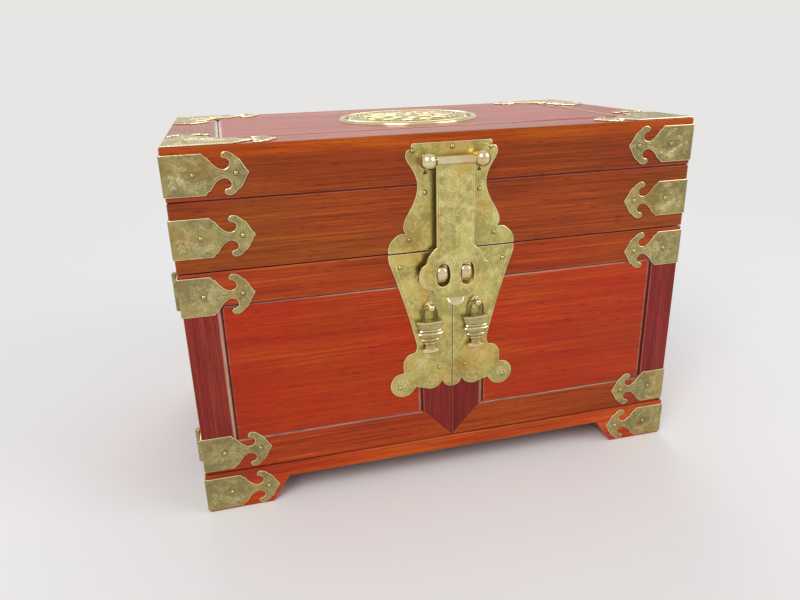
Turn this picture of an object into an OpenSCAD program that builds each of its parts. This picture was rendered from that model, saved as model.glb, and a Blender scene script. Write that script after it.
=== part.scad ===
// Two-door jewelry box: a hinged lid over two doors and four drawers, on a plinth with
// bracket feet, with brass straps, a hasp, drop pulls and a lift-out tray.
// Millimetres. +Z is up, the front faces -Y, and the origin lies on the floor under the
// middle of the overall box.

/* [Overall] */
// Width of the wooden case
case_w = 320; // [290:1:400]
// Depth of the wooden case, doors included
case_d = 190; // [175:1:240]
// Height of the plinth, feet included
plinth_h = 26.5; // [25:0.5:40]
// Height of the case between plinth and lid
body_h = 130.5; // [122:0.5:180]
// Height of the lid
lid_h = 69; // [66:0.5:100]

/* [Plinth] */
// Thickness of the plinth boards
plinth_t = 16; // [15:0.5:24]
// How far the plinth stands out past the case
plinth_lip = 1; // [0.5:0.1:3]
// Height of the arch between the feet
arch_h = 17; // [10:0.5:19]
// Length of a foot on the floor
foot_w = 40; // [38:1:60]
// How far a foot's bracket spreads up to the arch
bracket_w = 11.5; // [6:0.5:20]

/* [Case boards] */
// Thickness of the case sides
side_t = 12; // [10:0.5:16]
// Thickness of the case back and of the compartment's front rail
back_t = 10; // [8:0.5:14]
// Thickness of the case bottom
bottom_t = 6; // [4:0.5:9]
// Thickness of the compartment's floor and of the shelves
shelf_t = 5; // [4:0.5:8]
// Thickness of the partition between the drawer columns
partition_t = 8; // [6:0.5:12]
// Depth of the compartment under the lid
compartment_h = 36; // [34:0.5:44]

/* [Doors] */
// Thickness of a door
door_t = 14; // [12:0.5:18]
// Gap between a door and what is beside, under or behind it
door_gap = 0.5; // [0.3:0.1:1]
// Width of the door frame's outer stile and rails
door_member = 20.8; // [19:0.2:26]
// Depth and half width of the V groove round a panel
groove = 1.9; // [1:0.1:2.5]
// Hairline gap that a member leaves at a mitred joint
mitre_gap = 0.03; // [0.02:0.01:0.1]

/* [Lid] */
// Thickness of the lid's walls and top
lid_t = 10; // [8:0.5:14]
// Gap between the lid and the case
seam_gap = 0.2; // [0.1:0.05:0.4]
// Width of the lid top's frame members
top_member = 31; // [28:0.5:40]
// Height above the seam of the groove round the lid
band_z = 40; // [38.5:0.5:41.5]
// Length of the mirror's frame along the lid
mirror_w = 220; // [160:1:250]
// Depth of the mirror's frame
mirror_d = 112; // [90:1:130]
// Width of the mirror frame's members
mirror_member = 12; // [9:0.5:18]
// Thickness of the mirror's frame
mirror_t = 4; // [3.5:0.5:6]
// Thickness of the mirror's glass
glass_t = 3; // [2:0.5:3]

/* [Straps] */
// Thickness of the brass sheet
brass_t = 0.9; // [0.6:0.1:1.2]
// Length of a corner strap from corner to tip
strap_len = 44.8; // [42:0.1:52]
// Height of a corner strap
strap_h = 22.4; // [21.6:0.1:24]
// Length of a door hinge strap from corner to tip
hinge_strap_len = 41.3; // [38:0.1:46]
// Height of a door hinge strap
hinge_strap_h = 23.1; // [21.6:0.1:26]
// Height above the seam of the lid's lower straps
low_strap_z = 19.6; // [15:0.1:25]
// Height above the seam of the lid's upper straps
high_strap_z = 54; // [53.5:0.1:54.5]
// Distance of the hinge straps' middle from the door's ends
hinge_strap_in = 13.6; // [12.5:0.1:30]
// Height of the foot straps' middle above the floor
foot_strap_z = 12.9; // [12.5:0.1:13.2]
// Radius of a strap's fishtail head
head_r = 10; // [9:0.1:10.5]
// Radius of the notches behind the head
notch_r = 4.2; // [3.6:0.1:4.4]
// Half width of the neck between the notches
neck_h = 2.1; // [1.6:0.1:2.6]
// Radius of a nail's domed head
nail_r = 1.7; // [1.4:0.1:2]

/* [Hinges] */
// Radius of a hinge's knuckles
knuckle_r = 2; // [1.8:0.1:2.6]
// Radius of a hinge's pin
pin_r = 1.1; // [0.8:0.05:1.2]
// Radial running clearance between a pin and its bore
fit = 0.05; // [0.02:0.01:0.1]
// Gap between neighbouring knuckles
knuckle_gap = 0.25; // [0.15:0.05:0.5]
// Width of a lid hinge
lid_hinge_w = 26; // [22:0.5:34]
// Length of a lid hinge's leaf
lid_leaf_len = 34; // [32:0.5:38]
// Distance of the lid hinges' middle from the case sides
lid_hinge_in = 62; // [50:1:90]

/* [Top brass] */
// Length of a corner plate's legs
plate_leg = 61; // [54:0.5:72]
// Width of a corner plate's legs
plate_leg_w = 24; // [22:0.5:27]
// Distance of a corner plate from the lid's edges
plate_in = 1; // [0.5:0.1:3]
// Outer radius of the medallion on the lid
medallion_r = 48; // [34:0.5:54]
// Radius of the medallion's rim wire
rim_r = 2; // [1.5:0.1:2.6]

/* [Hasp] */
// Half width of the hasp's strap
hasp_w = 11.7; // [10.5:0.1:12]
// Thickness of the hasp's strap
hasp_t = 1.4; // [1:0.1:1.8]
// Distance of the hasp's rod in front of the lid
rod_out = 7; // [6.5:0.1:8]
// Height of the hasp's rod above the seam
rod_z = 54; // [52:0.1:56]
// Radius of the hasp's rod
rod_r = 1.5; // [1.2:0.1:1.8]
// Radius of the hasp's knuckle
hasp_knuckle_r = 2.8; // [2.6:0.1:3.2]
// Radius of the ball finials on the rod
ball_r = 4.4; // [4:0.1:5]
// Distance of a ball finial from the middle
ball_x = 16.3; // [16:0.1:17.2]
// Height below the seam of the slots' middle
slot_z = 14.5; // [12:0.1:17]
// Distance of a slot from the middle
slot_x = 7.7; // [7.5:0.1:8.2]
// Half width of a slot
slot_r = 4.2; // [4:0.1:4.6]
// Height of a slot
slot_h = 14.4; // [14:0.1:16]
// Half width of a staple
staple_w = 3.2; // [2.6:0.1:3.3]
// Outer radius of a staple's loop
staple_r = 5.5; // [5:0.1:5.7]
// Gap between a staple and the hanging hasp
staple_gap = 0.4; // [0.3:0.1:1]

/* [Pulls] */
// Distance of a drop pull from the middle
pull_x = 15.2; // [14.6:0.1:17]
// Height below the seam of the pulls' hinge pins
pull_z = 35; // [34:0.5:40]
// Half width of a drop pull
pull_w = 9; // [7:0.1:9.5]
// Thickness of a drop pull
pull_t = 3; // [2:0.1:3.2]
// Distance of a pull's pin in front of the lock plate
pull_out = 2.6; // [2.5:0.1:3.4]

/* [Drawers and tray] */
// Gap round a drawer
drawer_gap = 0.5; // [0.3:0.1:1]
// How far a drawer's front stands behind the door
drawer_back = 12; // [11.5:0.5:16]
// Thickness of a drawer's front
front_t = 9; // [7:0.5:12]
// Thickness of a drawer's sides and back
drawer_wall = 5; // [4:0.5:7]
// Thickness of the bottoms of drawers and tray
floor_t = 3; // [2:0.5:4]
// Radius of a drawer's knob
knob_r = 5; // [4:0.1:6]
// Height of the tray
tray_h = 32; // [26:0.5:33]
// Gap between the tray and the compartment
tray_gap = 0.8; // [0.5:0.1:1.5]
// Thickness of the tray's walls and dividers
tray_wall = 4; // [3:0.5:6]
// Radius of the finger notches in the tray's ends
finger_r = 11; // [8:0.5:14]

/* [Hidden] */
$fn = 48;

eps = 0.01;
half_w = case_w / 2;
half_d = case_d / 2;
seam_z = plinth_h + body_h;

// Hinge axes stand just outside the wood, so the knuckles clear it.
axis_out = knuckle_r + 0.1;
bore_r = pin_r + fit;
front_reach = rod_out + ball_r;
back_reach = axis_out + knuckle_r;
// Moves the case so that the overall box is centred on the origin.
case_y = (front_reach - back_reach) / 2;

// Doors
door_w = half_w - door_gap / 2;
door_h = body_h - 2 * door_gap;
door_z = plinth_h + door_gap;
case_front = -half_d + door_t + door_gap;
door_axis_y = case_front - door_gap / 2;
hinge_strap_zs = [door_z + hinge_strap_in, door_z + door_h - hinge_strap_in];

// Case
inner_w = case_w - 2 * side_t;
back_y = half_d - back_t;
carcass_d = half_d - case_front;
floor_z = seam_z - compartment_h;
bay_z = plinth_h + bottom_t;
bay_h = (floor_z - shelf_t - bay_z - shelf_t) / 2;
bay_w = (inner_w - partition_t) / 2;
bay_x = (inner_w + partition_t) / 4;

// Drawers
drawer_w = bay_w - 2 * drawer_gap;
drawer_h = bay_h - 2 * drawer_gap;
drawer_y = case_front + drawer_back;
drawer_d = back_y - drawer_gap - drawer_y;
knob_out = 8;

// Lid
lid_z = seam_z + seam_gap;
lid_wall_h = lid_h - seam_gap;
lid_axis_y = half_d + axis_out;
lid_axis_z = seam_z + seam_gap / 2;

// Hasp: the strap's back face hangs this far in front of the lid.
hasp_back = rod_out - 0.4 - hasp_t / 2;
staple_out = hasp_back - staple_gap;
hasp_len = 85;
curl_tilt = 38;

// Straps
sweep_r = 8.6;
hook_r = 1.5;
tip_out = 1.5;
neck_step = 0.1;
nail_back = 7;

WOOD = "firebrick";
INNER = "peru";
BRASS = "darkkhaki";

// ---- Helpers ----

// Puts a piece that is drawn about the case's middle in its place.
module stand() {
    translate([0, case_y, 0]) children();
}

// A bar along +X with mitred ends, its outer face at y = 0. The children are its
// section, drawn as depth across and height up.
module mitred_bar(length, depth, height) {
    intersection() {
        rotate([90, 0, 90]) linear_extrude(length) children();
        translate([0, 0, -eps]) linear_extrude(height + 2 * eps) mitred_ends(length, depth);
    }
}

// A bar's shape seen from above, each end cut back by the gap at its mitre.
module mitred_ends(length, depth) {
    polygon([[mitre_gap, 0], [length - mitre_gap, 0],
        [length - mitre_gap - depth, depth], [mitre_gap + depth, depth]]);
}

// Copies a bar to the front and the back of a w by d rectangle.
module front_and_back(w, d) {
    for (turn = [0, 180]) rotate(turn) translate([-w / 2, -d / 2, 0]) children();
}

// Copies a bar to the two ends of a w by d rectangle.
module both_ends(w, d) {
    for (turn = [90, -90]) rotate(turn) translate([-d / 2, -w / 2, 0]) children();
}

// A section with its inner top edge bevelled for the groove round a panel.
module member_section(width, thick) {
    polygon([[0, 0], [width, 0], [width, thick - groove], [width - groove, thick],
        [0, thick]]);
}

// A flat frame of four mitred members lying on z = 0, its middle at the origin.
module flat_frame(w, d, width, thick) {
    front_and_back(w, d) mitred_bar(w, width, thick) children();
    both_ends(w, d) mitred_bar(d, width, thick) children();
}

// A panel with bevelled top edges lying on z = 0.
module flat_panel(w, d, thick) {
    intersection() {
        rotate([90, 0, 0]) linear_extrude(d, center = true) bevelled(w, thick);
        rotate([90, 0, 90]) linear_extrude(w, center = true) bevelled(d, thick);
    }
}

module bevelled(w, thick) {
    polygon([[-w / 2, 0], [w / 2, 0], [w / 2, thick - groove], [w / 2 - groove, thick],
        [-w / 2 + groove, thick], [-w / 2, thick - groove]]);
}

// A board that stands on its edge, drawn from the front as width and height.
module upright(thick) {
    rotate([90, 0, 0]) mirror([0, 0, 1]) linear_extrude(thick) children();
}

// The outline of a fishtail strap: x runs from the corner to the tip. The neck steps in a
// little from the sweeps, so that no two edges run along each other.
module strap_outline(reach, tall) {
    head_x = reach - tip_out - head_r;
    sweep_x = head_x - 2;
    notch_x = head_x - 2.3;
    difference() {
        translate([0, -tall / 2]) square([sweep_x, tall]);
        for (side = [-1, 1]) translate([sweep_x, side * (neck_h + sweep_r)]) circle(sweep_r);
    }
    difference() {
        union() {
            intersection() {
                translate([head_x, 0]) circle(head_r);
                translate([head_x, -head_r]) square(2 * head_r);
            }
            polygon([[head_x + 0.86 * head_r, -head_r / 2], [reach, 0],
                [head_x + 0.86 * head_r, head_r / 2]]);
        }
        for (side = [-1, 1]) translate([notch_x, side * (neck_h + notch_r)]) circle(notch_r);
    }
    translate([sweep_x - 1, neck_step - neck_h]) square([4, 2 * (neck_h - neck_step)]);
    for (side = [-1, 1]) translate([head_x + 0.5, side * (head_r - 0.1)]) circle(hook_r);
}

// A corner strap in two legs that meet at the origin, along +X and along +Y, its middle
// at z = 0 and its back faces on the wood.
module corner_strap(reach, tall) {
    translate([0, -brass_t, 0]) upright(brass_t) strap_outline(reach, tall);
    translate([-brass_t, 0, 0]) rotate([90, 0, 90]) linear_extrude(brass_t)
        strap_outline(reach, tall);
    translate([0, 0, -tall / 2]) strap_corner(tall);
}

// The bent corner between two legs of a strap, standing on z = 0.
module strap_corner(tall) {
    translate([-brass_t, -brass_t, 0]) {
        cube([2 * brass_t, brass_t, tall]);
        cube([brass_t, 2 * brass_t, tall]);
    }
}

// Copies a piece drawn at the front left corner to all four corners.
module four_corners(w, d) {
    for (side = [0, 1], end = [0, 1])
        mirror([side, 0, 0]) mirror([0, end, 0]) translate([-w / 2, -d / 2, 0]) children();
}

// A nail's domed head on z = 0, facing +Z.
module nail() {
    intersection() {
        translate([0, 0, -nail_r / 2]) sphere(nail_r, $fn = 32);
        cylinder(h = nail_r, r = nail_r, $fn = 32);
    }
}

// A nail on a face that looks towards -Y.
module front_nail(x, z, out = brass_t) {
    translate([x, -out, z]) rotate([90, 0, 0]) nail();
}

// The two nails of each leg of a corner strap.
module strap_nails(reach) {
    for (at = [reach * 0.31, reach - nail_back]) {
        front_nail(at, 0);
        mirror([1, -1, 0]) front_nail(at, 0);
    }
}

// A hinge's knuckles along +Z in a height of tall: the middle third, or the other two.
module knuckles(tall, middle) {
    third = tall / 3;
    for (n = middle ? [1] : [0, 2])
        translate([0, 0, n * third + knuckle_gap / 2]) difference() {
            children();
            translate([0, 0, -1]) cylinder(h = third + 2, r = bore_r);
        }
}

// One knuckle with the web that joins it to a leaf on the y > 0 side of the axis. The
// leaf lies between x = axis_out - brass_t and x = axis_out.
module knuckle(tall) {
    length = tall / 3 - knuckle_gap;
    cylinder(h = length, r = knuckle_r);
    translate([axis_out - brass_t, 0, 0])
        cube([brass_t, knuckle_r + knuckle_gap + eps, length]);
}

// A leaf with its knuckles. The axis is the z axis, the leaf runs along +Y, and its
// height of tall starts at z = 0.
module leaf(tall, middle) {
    knuckles(tall, middle) knuckle(tall);
    translate([axis_out - brass_t, knuckle_r + knuckle_gap, tall / 2])
        rotate([90, 0, 90]) linear_extrude(brass_t) children();
}

// ---- Plinth and case ----

module plinth_outline(length) {
    difference() {
        square([length, plinth_h]);
        translate([0, -eps]) polygon([[foot_w, 0], [length - foot_w, 0],
            [length - foot_w - bracket_w, arch_h + eps], [foot_w + bracket_w, arch_h + eps]]);
    }
}

module plinth_board(length) {
    intersection() {
        upright(plinth_t) plinth_outline(length);
        linear_extrude(plinth_h) mitred_ends(length, plinth_t);
    }
}

plinth_w = case_w + 2 * plinth_lip;
plinth_d = case_d + 2 * plinth_lip;

module plinth_rails() {
    color(WOOD) stand() front_and_back(plinth_w, plinth_d) plinth_board(plinth_w);
}

module plinth_sides() {
    color(WOOD) stand() both_ends(plinth_w, plinth_d) plinth_board(plinth_d);
}

module plinth_straps() {
    color(BRASS) stand() four_corners(plinth_w, plinth_d)
        translate([0, 0, foot_strap_z]) corner_strap(strap_len, strap_h);
}

module case_sides() {
    color(WOOD) stand() for (side = [0, 1]) mirror([side, 0, 0])
        translate([-half_w, case_front, plinth_h]) cube([side_t, carcass_d, body_h]);
}

module case_back() {
    color(WOOD) stand() translate([-inner_w / 2, back_y, plinth_h])
        cube([inner_w, back_t, body_h]);
}

module case_bottom() {
    color(INNER) stand() translate([-inner_w / 2, case_front, plinth_h])
        cube([inner_w, back_y - case_front, bottom_t]);
}

module compartment_floor() {
    color(INNER) stand() translate([-inner_w / 2, case_front, floor_z - shelf_t])
        cube([inner_w, back_y - case_front, shelf_t]);
}

module compartment_rail() {
    color(WOOD) stand() translate([-inner_w / 2, case_front, floor_z])
        cube([inner_w, back_t, compartment_h]);
}

module drawer_partition() {
    color(INNER) stand() translate([-partition_t / 2, case_front, bay_z])
        cube([partition_t, back_y - case_front, 2 * bay_h + shelf_t]);
}

module drawer_shelves() {
    color(INNER) stand() for (side = [-1, 1])
        translate([side * bay_x - bay_w / 2, case_front, bay_z + bay_h])
            cube([bay_w, back_y - case_front, shelf_t]);
}

// ---- Hinges ----

// Copies a piece drawn about a left door hinge's axis to all four door hinges.
module at_door_hinges() {
    for (side = [0, 1], z = hinge_strap_zs) mirror([side, 0, 0])
        translate([-half_w - axis_out, door_axis_y, z - hinge_strap_h / 2]) children();
}

// Copies a piece to both lid hinges, with the hinge axis along X.
module at_lid_hinges() {
    for (side = [-1, 1])
        translate([side * (half_w - lid_hinge_in) - lid_hinge_w / 2, lid_axis_y, lid_axis_z])
            children();
}

module door_hinge_leaves() {
    color(BRASS) stand() at_door_hinges() leaf(hinge_strap_h, true)
        strap_outline(hinge_strap_len, hinge_strap_h);
}

module lid_hinge_lower_leaves() {
    color(BRASS) stand() at_lid_hinges() lid_leaf_frame(false) leaf(lid_hinge_w, true)
        strap_outline(lid_leaf_len, lid_hinge_w);
}

module lid_hinge_upper_leaves() {
    color(BRASS) stand() at_lid_hinges() lid_leaf_frame(true) leaf(lid_hinge_w, false)
        strap_outline(lid_leaf_len, lid_hinge_w);
}

// Maps the leaf's frame (axis z, leaf +Y, wood +X) to a lid hinge's: the axis lies along
// X, the wood is towards -Y, and the leaf runs up or down.
module lid_leaf_frame(up) {
    multmatrix(up ? [[0, 0, 1, 0], [-1, 0, 0, 0], [0, 1, 0, 0], [0, 0, 0, 1]]
        : [[0, 0, 1, 0], [-1, 0, 0, 0], [0, -1, 0, 0], [0, 0, 0, 1]]) children();
}

module hinge_pins() {
    color(BRASS) stand() {
        at_door_hinges() cylinder(h = hinge_strap_h, r = pin_r);
        at_lid_hinges() rotate([0, 90, 0]) cylinder(h = lid_hinge_w, r = pin_r);
    }
}

module leaf_nails(reach) {
    for (at = [reach * 0.31, reach - nail_back])
        translate([axis_out - brass_t, knuckle_r + knuckle_gap + at, 0])
            rotate([0, -90, 0]) nail();
}

module case_nails() {
    color(BRASS) stand() {
        four_corners(plinth_w, plinth_d) translate([0, 0, foot_strap_z]) strap_nails(strap_len);
        at_door_hinges() translate([0, 0, hinge_strap_h / 2]) leaf_nails(hinge_strap_len);
        at_lid_hinges() lid_leaf_frame(false) translate([0, 0, lid_hinge_w / 2])
            leaf_nails(lid_leaf_len);
    }
}

// ---- Lid ----

// A lid wall's section: the top is cut at 45 degrees to meet the top frame, and a V
// groove runs round the outside at band_z above the seam.
module lid_wall_section() {
    difference() {
        polygon([[0, 0], [lid_t, 0], [lid_t, lid_wall_h - lid_t], [0, lid_wall_h]]);
        translate([0, band_z - seam_gap]) polygon([[-eps, -groove / 2], [groove / 2, 0],
            [-eps, groove / 2]]);
    }
}

module top_frame_section() {
    polygon([[0, lid_t], [lid_t, 0], [top_member, 0], [top_member, lid_t - groove],
        [top_member - groove, lid_t]]);
}

module lid_wall(length) {
    translate([0, 0, lid_z]) mitred_bar(length, lid_t, lid_wall_h) lid_wall_section();
}

module lid_front() {
    color(WOOD) stand() translate([-half_w, -half_d, 0]) lid_wall(case_w);
}

module lid_back() {
    color(WOOD) stand() rotate(180) translate([-half_w, -half_d, 0]) lid_wall(case_w);
}

module lid_sides() {
    color(WOOD) stand() both_ends(case_w, case_d) lid_wall(case_d);
}

top_z = seam_z + lid_h - lid_t;

module lid_top_frame() {
    color(WOOD) stand() translate([0, 0, top_z])
        flat_frame(case_w, case_d, top_member, lid_t) top_frame_section();
}

module lid_top_panel() {
    color(WOOD) stand() translate([0, 0, top_z])
        flat_panel(case_w - 2 * top_member, case_d - 2 * top_member, lid_t);
}

module lid_straps() {
    color(BRASS) stand() for (z = [low_strap_z, high_strap_z])
        translate([0, 0, seam_z + z]) four_corners(case_w, case_d)
            corner_strap(strap_len, strap_h);
}

// The corner plate seen from above, its corner at the origin: two fishtail legs and a
// lobe in the angle between them.
module corner_plate_outline() {
    for (leg = [0, 1]) mirror([leg, -leg, 0]) translate([0, plate_leg_w / 2])
        strap_outline(plate_leg, plate_leg_w);
    translate([plate_leg_w, plate_leg_w]) circle(plate_leg_w / 4);
}

module lid_corner_plates() {
    color(BRASS) stand() translate([0, 0, seam_z + lid_h])
        four_corners(case_w - 2 * plate_in, case_d - 2 * plate_in)
            linear_extrude(brass_t) corner_plate_outline();
}

module medallion() {
    color(BRASS) stand() translate([0, 0, seam_z + lid_h]) rotate_extrude()
        polygon([[0, 0], [medallion_r - 2 * rim_r, 0], [medallion_r - 2 * rim_r, 1],
            [medallion_r * 0.8, 1.4], [medallion_r * 0.75, 2.2], [0, 3]]);
}

module medallion_rim() {
    color(BRASS) stand() translate([0, 0, seam_z + lid_h]) rotate_extrude()
        translate([medallion_r - rim_r, 0]) intersection() {
            circle(rim_r);
            translate([-rim_r, 0]) square(2 * rim_r);
        }
}

module mirror_frame() {
    color(INNER) stand() translate([0, 0, top_z - mirror_t])
        flat_frame(mirror_w, mirror_d, mirror_member, mirror_t)
            square([mirror_member, mirror_t]);
}

module mirror_glass() {
    glass_w = mirror_w - 2 * mirror_member;
    glass_d = mirror_d - 2 * mirror_member;
    color("lightsteelblue") stand() translate([-glass_w / 2, -glass_d / 2, top_z - glass_t])
        cube([glass_w, glass_d, glass_t]);
}

module lid_nails() {
    color(BRASS) stand() {
        for (z = [low_strap_z, high_strap_z]) translate([0, 0, seam_z + z])
            four_corners(case_w, case_d) strap_nails(strap_len);
        translate([0, 0, seam_z + lid_h + brass_t])
            four_corners(case_w - 2 * plate_in, case_d - 2 * plate_in) {
                translate([plate_leg_w / 2, plate_leg_w / 2, 0]) nail();
                for (leg = [0, 1]) mirror([leg, -leg, 0])
                    translate([plate_leg - nail_back, plate_leg_w / 2, 0]) nail();
            }
        at_lid_hinges() lid_leaf_frame(true) translate([0, 0, lid_hinge_w / 2])
            leaf_nails(lid_leaf_len);
        translate([0, -half_d, seam_z]) for (at = upper_plate_nails)
            for (side = at[0] == 0 ? [1] : [-1, 1]) front_nail(side * at[0], at[1]);
    }
}

// ---- Hasp ----

// The upper lock plate: a flat top with ears, a waist, shoulders and a round lobe each
// side, which the lower plates carry on below the seam. Heights are from the seam.
upper_plate_nails = [[0, 60.9], [24, 59.6], [16.9, 35.2], [27, 7.8]];
plate_top = 63.8;
ear_z = 57.4;
lobe_x = 29.4;
lobe_r = 10.6;

module upper_plate_outline() {
    difference() {
        translate([-30.2, 11.5]) square([60.4, 44]);
        for (side = [-1, 1]) translate([side * 56.5, 40]) circle(35.2, $fn = 96);
    }
    translate([-24.5, 50]) square([49, plate_top - 50]);
    translate([-28.8, seam_gap]) square([57.6, 12]);
    for (side = [-1, 1]) {
        translate([side * 22.6, ear_z]) circle(5.6);
        intersection() {
            translate([side * lobe_x, 1.5]) circle(lobe_r);
            translate([-60, seam_gap]) square([120, 20]);
        }
    }
}

module hasp_plate() {
    color(BRASS) stand() translate([0, -half_d - brass_t, seam_z])
        upright(brass_t) upper_plate_outline();
}

module hasp_posts() {
    post_z = seam_z + rod_z;
    color(BRASS) stand() for (side = [-1, 1]) difference() {
        union() {
            translate([side * ball_x, -half_d - rod_out, post_z]) sphere(ball_r);
            translate([side * ball_x, -half_d - brass_t, post_z]) rotate([90, 0, 0])
                cylinder(h = rod_out - brass_t, r = 2.4);
        }
        translate([-ball_x - fit, -half_d - rod_out, post_z]) rotate([0, 90, 0])
            cylinder(h = 2 * (ball_x + fit), r = rod_r + fit);
    }
}

module hasp_rod() {
    color(BRASS) stand() translate([-ball_x, -half_d - rod_out, seam_z + rod_z])
        rotate([0, 90, 0]) cylinder(h = 2 * ball_x, r = rod_r);
}

// The hasp's face below its knuckle, with heights from the rod's axis: a straight strap,
// a round-lobed end and two slots.
module hasp_outline() {
    slot_drop = -rod_z - slot_z;
    difference() {
        union() {
            translate([-hasp_w, -54.5]) square([2 * hasp_w, 54.5]);
            for (side = [-1, 1]) {
                translate([side * 13.6, slot_drop]) circle(9.2);
                translate([side * 6.2, -76.8]) circle(6.9);
            }
            polygon([[-hasp_w, -52], [hasp_w, -52], [18.5, -61], [12, -78], [3.4, -84.6],
                [-3.4, -84.6], [-12, -78], [-18.5, -61]]);
        }
        for (side = [-1, 1]) translate([side * slot_x, slot_drop]) slot_outline();
    }
}

module slot_outline() {
    run = slot_h - 2 * slot_r;
    translate([-slot_r, -run / 2]) square([2 * slot_r, run]);
    for (end = [-1, 1]) translate([0, end * run / 2]) circle(slot_r);
}

module hasp_strap() {
    color(BRASS) stand() translate([0, -half_d - rod_out, seam_z + rod_z]) {
        difference() {
            union() {
                rotate([0, 90, 0]) cylinder(h = 2 * hasp_w, r = hasp_knuckle_r, center = true);
                translate([0, 0.4 - hasp_t / 2, 0]) upright(hasp_t) hasp_outline();
            }
            rotate([0, 90, 0]) cylinder(h = 2 * hasp_w + 2, r = rod_r + fit, center = true);
        }
        // The curled tip that a finger lifts
        translate([0, 0.4 + hasp_t / 2, -hasp_len + 1]) rotate([-curl_tilt, 0, 0])
            translate([0, -hasp_t, 0]) upright(hasp_t) intersection() {
                circle(5.4);
                translate([-6, -6]) square([12, 7]);
            }
    }
}

// ---- Doors ----

// Stands a flat piece up on the left door: its x from the door's outer edge, its y up.
module on_left_door() {
    stand() translate([-half_w, -half_d + door_t, door_z]) rotate([90, 0, 0]) children();
}

module door_frame() {
    color(WOOD) on_left_door() translate([door_w / 2, door_h / 2, 0])
        flat_frame(door_w, door_h, door_member, door_t) member_section(door_member, door_t);
}

module door_panel() {
    color(WOOD) on_left_door() translate([door_w / 2, door_h / 2, 0])
        flat_panel(door_w - 2 * door_member, door_h - 2 * door_member, door_t);
}

// The hinge leaf that wraps a left door's edge and lies on its face.
module hinge_strap() {
    color(BRASS) stand() for (z = hinge_strap_zs) {
        translate([-half_w, -half_d, z]) {
            translate([0, -brass_t, 0]) upright(brass_t)
                strap_outline(hinge_strap_len, hinge_strap_h);
            translate([0, 0, -hinge_strap_h / 2]) strap_corner(hinge_strap_h);
        }
        translate([-half_w - axis_out, door_axis_y, z - hinge_strap_h / 2])
            mirror([0, 1, 0]) leaf(hinge_strap_h, false)
                translate([0, -hinge_strap_h / 2])
                    square([door_axis_y + half_d - knuckle_r - knuckle_gap, hinge_strap_h]);
    }
}

// The lower lock plate's right half, with heights from the seam: a round-cornered top,
// tapered sides and a cloud-scrolled foot.
module lower_plate_outline() {
    translate([lobe_x, -3]) circle(lobe_r + 0.3);
    polygon([[-1, -90], [30, -90], [31, -80], [22.7, -66], [24.4, -56], [35.9, -16],
        [38.6, -8.6], [lobe_x, 1], [-1, 1]]);
    for (lobe = cloud_lobes) translate([lobe[0], lobe[1]]) circle(lobe[2]);
}

cloud_lobes = [[24.5, -74, 8], [32.9, -87.7, 8.3], [14.3, -84.5, 8.4], [0, -86.5, 6.6]];
lower_plate_nails = [[32.8, -8.9], [8.5, -78.4], [34.9, -89.5]];

module lock_plate() {
    color(BRASS) stand() translate([0, -half_d - brass_t, seam_z]) mirror([1, 0, 0])
        difference() {
            upright(brass_t) lower_plate_outline();
            translate([door_gap / 2 - 20, -1, -100]) cube([20, brass_t + 2, 120]);
            translate([-20, -1, -door_gap]) cube([80, brass_t + 2, 30]);
        }
}

// The staple: a half-round loop, pierced along X for a lock's bar.
module staple() {
    color(BRASS) stand() translate([-slot_x, -half_d, seam_z - slot_z])
        rotate([0, 90, 0]) rotate(180) linear_extrude(2 * staple_w, center = true)
            difference() {
                intersection() {
                    translate([0, staple_out - staple_r]) circle(staple_r);
                    translate([-10, brass_t]) square([20, 10]);
                }
                translate([0, staple_out - 3.1]) circle(2.1);
            }
}

// The drop pull's hinge: two lugs on the lock plate with a pin between them.
pull_pin_r = 0.9;
pull_knuckle_w = 2.3;
lug_t = 1;

module at_left_pull() {
    stand() translate([-pull_x, -half_d - brass_t - pull_out, seam_z - pull_z]) children();
}

module pull_eye() {
    color(BRASS) at_left_pull() {
        for (side = [-1, 1]) translate([side * (pull_knuckle_w + 0.2 + lug_t / 2), 0, 0])
            rotate([0, 90, 0]) linear_extrude(lug_t, center = true) {
                circle(1.7);
                translate([-1.7, 0]) square([3.4, pull_out]);
            }
        rotate([0, 90, 0])
            cylinder(h = 2 * (pull_knuckle_w + 0.2 + lug_t), r = pull_pin_r, center = true);
    }
}

// The drop pull's face, with heights from its pin: a stem, a flanged vase and a foot.
module pull_outline() {
    polygon([[-2, -1.5], [2, -1.5], [5.4, -10], [-5.4, -10]]);
    translate([-pull_w, -12]) square([2 * pull_w, 2.2]);
    polygon([[-pull_w + 0.7, -12], [pull_w - 0.7, -12], [pull_w - 0.9, -18.5],
        [pull_w - 3.2, -22.5], [3.6, -26], [3.6, -29], [-3.6, -29], [-3.6, -26],
        [3.2 - pull_w, -22.5], [0.9 - pull_w, -18.5]]);
    translate([-pull_w, -20.2]) square([2 * pull_w, 2]);
    translate([-5.8, -30.8]) square([11.6, 2.4]);
}

module pull() {
    color(BRASS) at_left_pull() difference() {
        union() {
            rotate([0, 90, 0]) cylinder(h = 2 * pull_knuckle_w, r = 2.1, center = true);
            translate([0, -pull_t / 2, 0]) upright(pull_t) pull_outline();
        }
        rotate([0, 90, 0])
            cylinder(h = 2 * pull_knuckle_w + 2, r = pull_pin_r + fit, center = true);
    }
}

module door_nails() {
    color(BRASS) stand() {
        for (z = hinge_strap_zs) translate([-half_w, -half_d, z])
            for (at = [hinge_strap_len * 0.27, hinge_strap_len - nail_back]) front_nail(at, 0);
        translate([0, -half_d, seam_z]) for (at = lower_plate_nails)
            front_nail(-at[0], at[1]);
    }
}

module on_right() {
    mirror([1, 0, 0]) children();
}

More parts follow.
